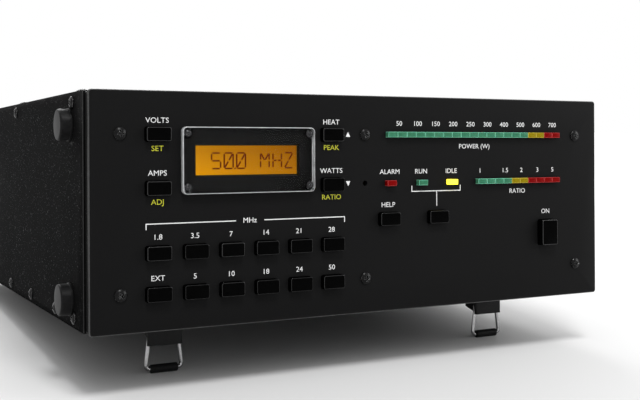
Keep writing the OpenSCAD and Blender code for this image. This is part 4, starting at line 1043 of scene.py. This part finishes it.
def add_guard():
    """Four rings, four spokes and an eye round each corner screw."""
    wire_r, eye, eye_in, spoke_in, spoke_bend = 1.1, 3.0, 4.75, 9.5, 7
    low, high = case_box("fan_guard")
    x, z = (low.x + high.x) / 2, (low.z + high.z) / 2
    housing = case_box("fan_frame")
    pitch = (housing[1].x - housing[0].x) / 2 - eye_in
    ring_y = high.y - wire_r
    spoke_y = ring_y - 1.8 * wire_r
    rings = []
    for radius in (16, 26, 36, (high.x - low.x) / 2 - wire_r):
        circle = [math.radians(turn) for turn in range(0, 360, 6)]
        rings.append(([(x + radius * math.cos(a), ring_y, z + radius * math.sin(a)) for a in circle], True))
    spokes = []
    for a, b in ((1, 1), (1, -1), (-1, 1), (-1, -1)):
        corner = Vector((x + a * pitch, low.y + wire_r, z + b * pitch))
        inward = Vector((-a, 0, -b)).normalized()
        bent = corner + inward * (eye + spoke_bend)
        bent.y = spoke_y
        spokes.append(([(x + a * spoke_in, spoke_y, z + b * spoke_in), bent, corner + inward * eye], False))
        spokes.append(([corner + Matrix.Rotation(math.radians(turn), 3, "Y") @ inward * eye
                        for turn in range(0, 360, 20)], True))
    for name, runs, radius, bend in (("guard_rings", rings, wire_r, 0),
                                     ("guard_spokes", spokes, 0.9 * wire_r, 2)):
        keep(wire_mesh(name, runs, radius, bend, BRIGHT_WIRE), name, "case", "fan_guard")


add_fan()
add_guard()

# --- Rear sockets, switch and ground --------------------------------------------------------------
# Nickel-plated antenna sockets with threaded barrels, two data sockets and a keying jack, the mains
# inlet with its fuse drawer, a rocker switch marked I and O, and a brass post with its wing nut.
NICKEL = finish("nickel_plate", (0.42, 0.405, 0.38), (0.6, 0.58, 0.545), rough=0.25, grain=600, metal=1,
                bump=0.06)
BRASS = finish("turned_brass", (0.55, 0.38, 0.14), (0.7, 0.52, 0.24), rough=0.3, metal=1, bump=0.1)
GOLD = finish("gold_contact", (0.75, 0.5, 0.16), (0.85, 0.62, 0.25), rough=0.22, metal=1, bump=0.04)
INSULATOR = finish("white_insulator", (0.7, 0.69, 0.66), (0.8, 0.79, 0.76), rough=0.45, grain=500, bump=0.1)
INLET = finish("inlet_plastic", (0.007, 0.007, 0.0072), (0.016, 0.016, 0.0164), rough=0.35, bump=0.08,
               gloss=0.25)


def on_rear(mesh, x, y, z, *looks):
    """Stands a mesh turned about z on the rear, at a place in the case's frame."""
    for look in looks:
        mesh.materials.append(look)
    mesh.transform(at_case(x, y, z) @ onto_rear)
    return mesh


def big_parts(node, least):
    """The boxes of a node's solids that are at least so wide, from the left."""
    return sorted((box for box in part_boxes(node) if box[1].x - box[0].x >= least), key=lambda box: box[0].x)


def add_antenna_sockets():
    soften("rf_connectors", "antenna_bodies", NICKEL, NICKEL, 0.2, 2, outer_edges("rf_connectors"))
    plate_y = case_box("rear_panel")[1].y + 2
    for number, (low, high) in enumerate(big_parts("rf_connectors", 20), start=1):
        x, z = (low.x + high.x) / 2, (low.z + high.z) / 2
        tip = high.y - plate_y
        pitch, crest, root = 1.06, 7.92, 7.4
        profile = [(6.05, 0.2), (crest + 0.5, 0.2), (crest + 0.5, 1.0), (root, 1.4)]
        for turn in range(int((tip - 2.6) / pitch)):
            start = 1.6 + turn * pitch
            profile += [(crest, start + 0.35), (crest, start + 0.5), (root, start + 0.95)]
        profile += [(root, tip - 0.3), (root - 0.3, tip), (6.3, tip), (6.05, tip - 0.3), (6.05, 0.2)]
        seat = tip - 3.2
        ring = [(2.6, seat - 1), (6, seat - 1), (6, seat - 0.2), (5.7, seat), (2.9, seat), (2.6, seat - 0.2),
                (2.6, seat - 1)]
        cup = [(2.05, seat - 1), (2.55, seat - 1), (2.55, seat + 0.7), (2.35, seat + 0.9), (2.05, seat + 0.9),
               (2.05, seat - 1)]
        for name, points, sides, look in (("thread", profile, 48, NICKEL), ("insulator", ring, 40, INSULATOR),
                                          ("contact", cup, 32, GOLD)):
            mesh = on_rear(turned(f"{name}_{number}", points, sides), x, plate_y, z, look)
            keep(mesh, f"antenna_{name}_{number}", "case")


def add_data_sockets():
    """A dark insert with three rows of five contacts in each data socket's shell."""
    soften("data_connectors", "data_shells", NICKEL, NICKEL, 0.2, 2)
    face_y = case_box("rear_panel")[1].y + 2.4
    tube = [(0.32, 0), (0.6, 0), (0.6, 0.5), (0.5, 0.6), (0.32, 0.6), (0.32, 0)]
    step, rise, stagger = 2.3, 1.95, 0.55
    insert, contacts = bmesh.new(), bmesh.new()
    for low, high in big_parts("data_connectors", 25):
        x, z = (low.x + high.x) / 2, (low.z + high.z) / 2
        slab(insert, square(x, z, 7.3, 3.2), face_y - 0.4, 0.5)
        for row in (1, 0, -1):
            for i in range(-2, 3):
                across = x + i * step + row * stagger
                contact = on_rear(turned("tube", tube, 12), across, face_y, z + row * rise)
                contacts.from_mesh(contact)
                bpy.data.meshes.remove(contact)
    keep(rounded_edges(insert, "data_inserts", INLET, INLET, 0.12), "data_inserts", "case")
    keep(smooth_between(mesh_of(contacts, "data_contacts", GOLD), 32), "data_contacts", "case")


def mark_rocker():
    """Prints I on the rocker's upper face and O on its lower one."""
    rocker = merged_copy("power_rocker")
    faces = [face for face in rocker.faces if (to_case.to_3x3() @ face.normal).y > 0.9]
    faces = sorted(faces, key=lambda face: -face.calc_area())[:2]
    lower, upper = sorted(faces, key=lambda face: face.calc_center_median().z)
    line = bmesh.new()
    bmesh.ops.create_cube(line, size=1, matrix=Matrix.Diagonal((0.6 * MM, 3.4 * MM, 0.06 * MM, 1)))
    ring = turned("off_mark", [(1.15, 0), (1.7, 0), (1.7, 0.03), (1.15, 0.03), (1.15, 0)], 40)
    marks = bmesh.new()
    for mark, face in ((mesh_of(line, "on_mark"), upper), (ring, lower)):
        turn = face.normal.to_track_quat("Z", "Y").to_matrix().to_4x4()
        mark.transform(Matrix.Translation(face.calc_center_median()) @ turn)
        marks.from_mesh(mark)
        bpy.data.meshes.remove(mark)
    rocker.free()
    keep(mesh_of(marks, "rocker_marks", WHITE_INK), "rocker_marks", body_of("power_rocker"))


def add_mains():
    """The inlet, its three blades, the fuse drawer, the rocker with its marks and the ground post."""
    for node, name, width in (("power_inlet", "mains_inlet", 0.4), ("fuse_drawer", "fuse_holder", 0.3),
                              ("switch_frame", "rocker_bezel", 0.3), ("power_rocker", "rocker", 0.3)):
        soften(node, name, INLET, INLET, width)
    mark_rocker()
    inlet = middle_of("power_inlet")
    mouth = case_box("rear_panel")[1].y
    blades = bmesh.new()
    for x, z in ((-16, -2), (-9, 2), (-2, -2)):
        slab(blades, square(inlet.x + x, inlet.z + z, 1, 2), mouth - 14.5, 13)
    keep(rounded_edges(blades, "inlet_blades", NICKEL, NICKEL, 0.35), "inlet_blades", "case")
    soften("ground_post", "ground_stud", BRASS, BRASS, 0.3)
    soften("ground_wing_nut", "wing_nut", NICKEL, NICKEL, 0.35)


add_antenna_sockets()
add_data_sockets()
add_mains()

# --- Inside ---------------------------------------------------------------------------------------
# What shows through the vents and when the case is open: boards with a green mask, an extruded heat
# sink, the taped ring transformer and sleeved capacitors.
SOLDER_MASK = finish("solder_mask", (0.01, 0.09, 0.03), (0.02, 0.14, 0.05), rough=0.35, grain=400, bump=0.2)
ALLOY = finish("extruded_alloy", (0.4, 0.4, 0.41), (0.55, 0.55, 0.56), rough=0.4, metal=1)
WINDING = finish("taped_winding", (0.35, 0.2, 0.05), (0.5, 0.32, 0.1), rough=0.45)
CAN_SLEEVE = finish("can_sleeve", (0.01, 0.02, 0.12), (0.02, 0.04, 0.2), rough=0.3)
for node, look in (("front_board", SOLDER_MASK), ("supply_board", SOLDER_MASK), ("rf_board", SOLDER_MASK),
                   ("filter_board", SOLDER_MASK), ("tact_switches", FAN_BLACK), ("heat_sink", ALLOY),
                   ("filter_capacitors", CAN_SLEEVE)):
    put_on(node, look)


def add_transformer():
    """The taped ring, and the plated bolt whose head shows under the bottom."""
    ring = merged_copy("power_transformer")
    inside = case_box("bottom_panel")[1].z
    for face in ring.faces:
        face.material_index = 1 if (to_case @ face.calc_center_median()).z / MM < inside else 0
    mesh = smooth_between(mesh_of(ring, "ring_transformer", WINDING, PLATED), 35)
    keep(mesh, "ring_transformer", "case", "power_transformer")


add_transformer()
for tool in (HEAD, SHANK):
    bpy.data.objects.remove(tool)
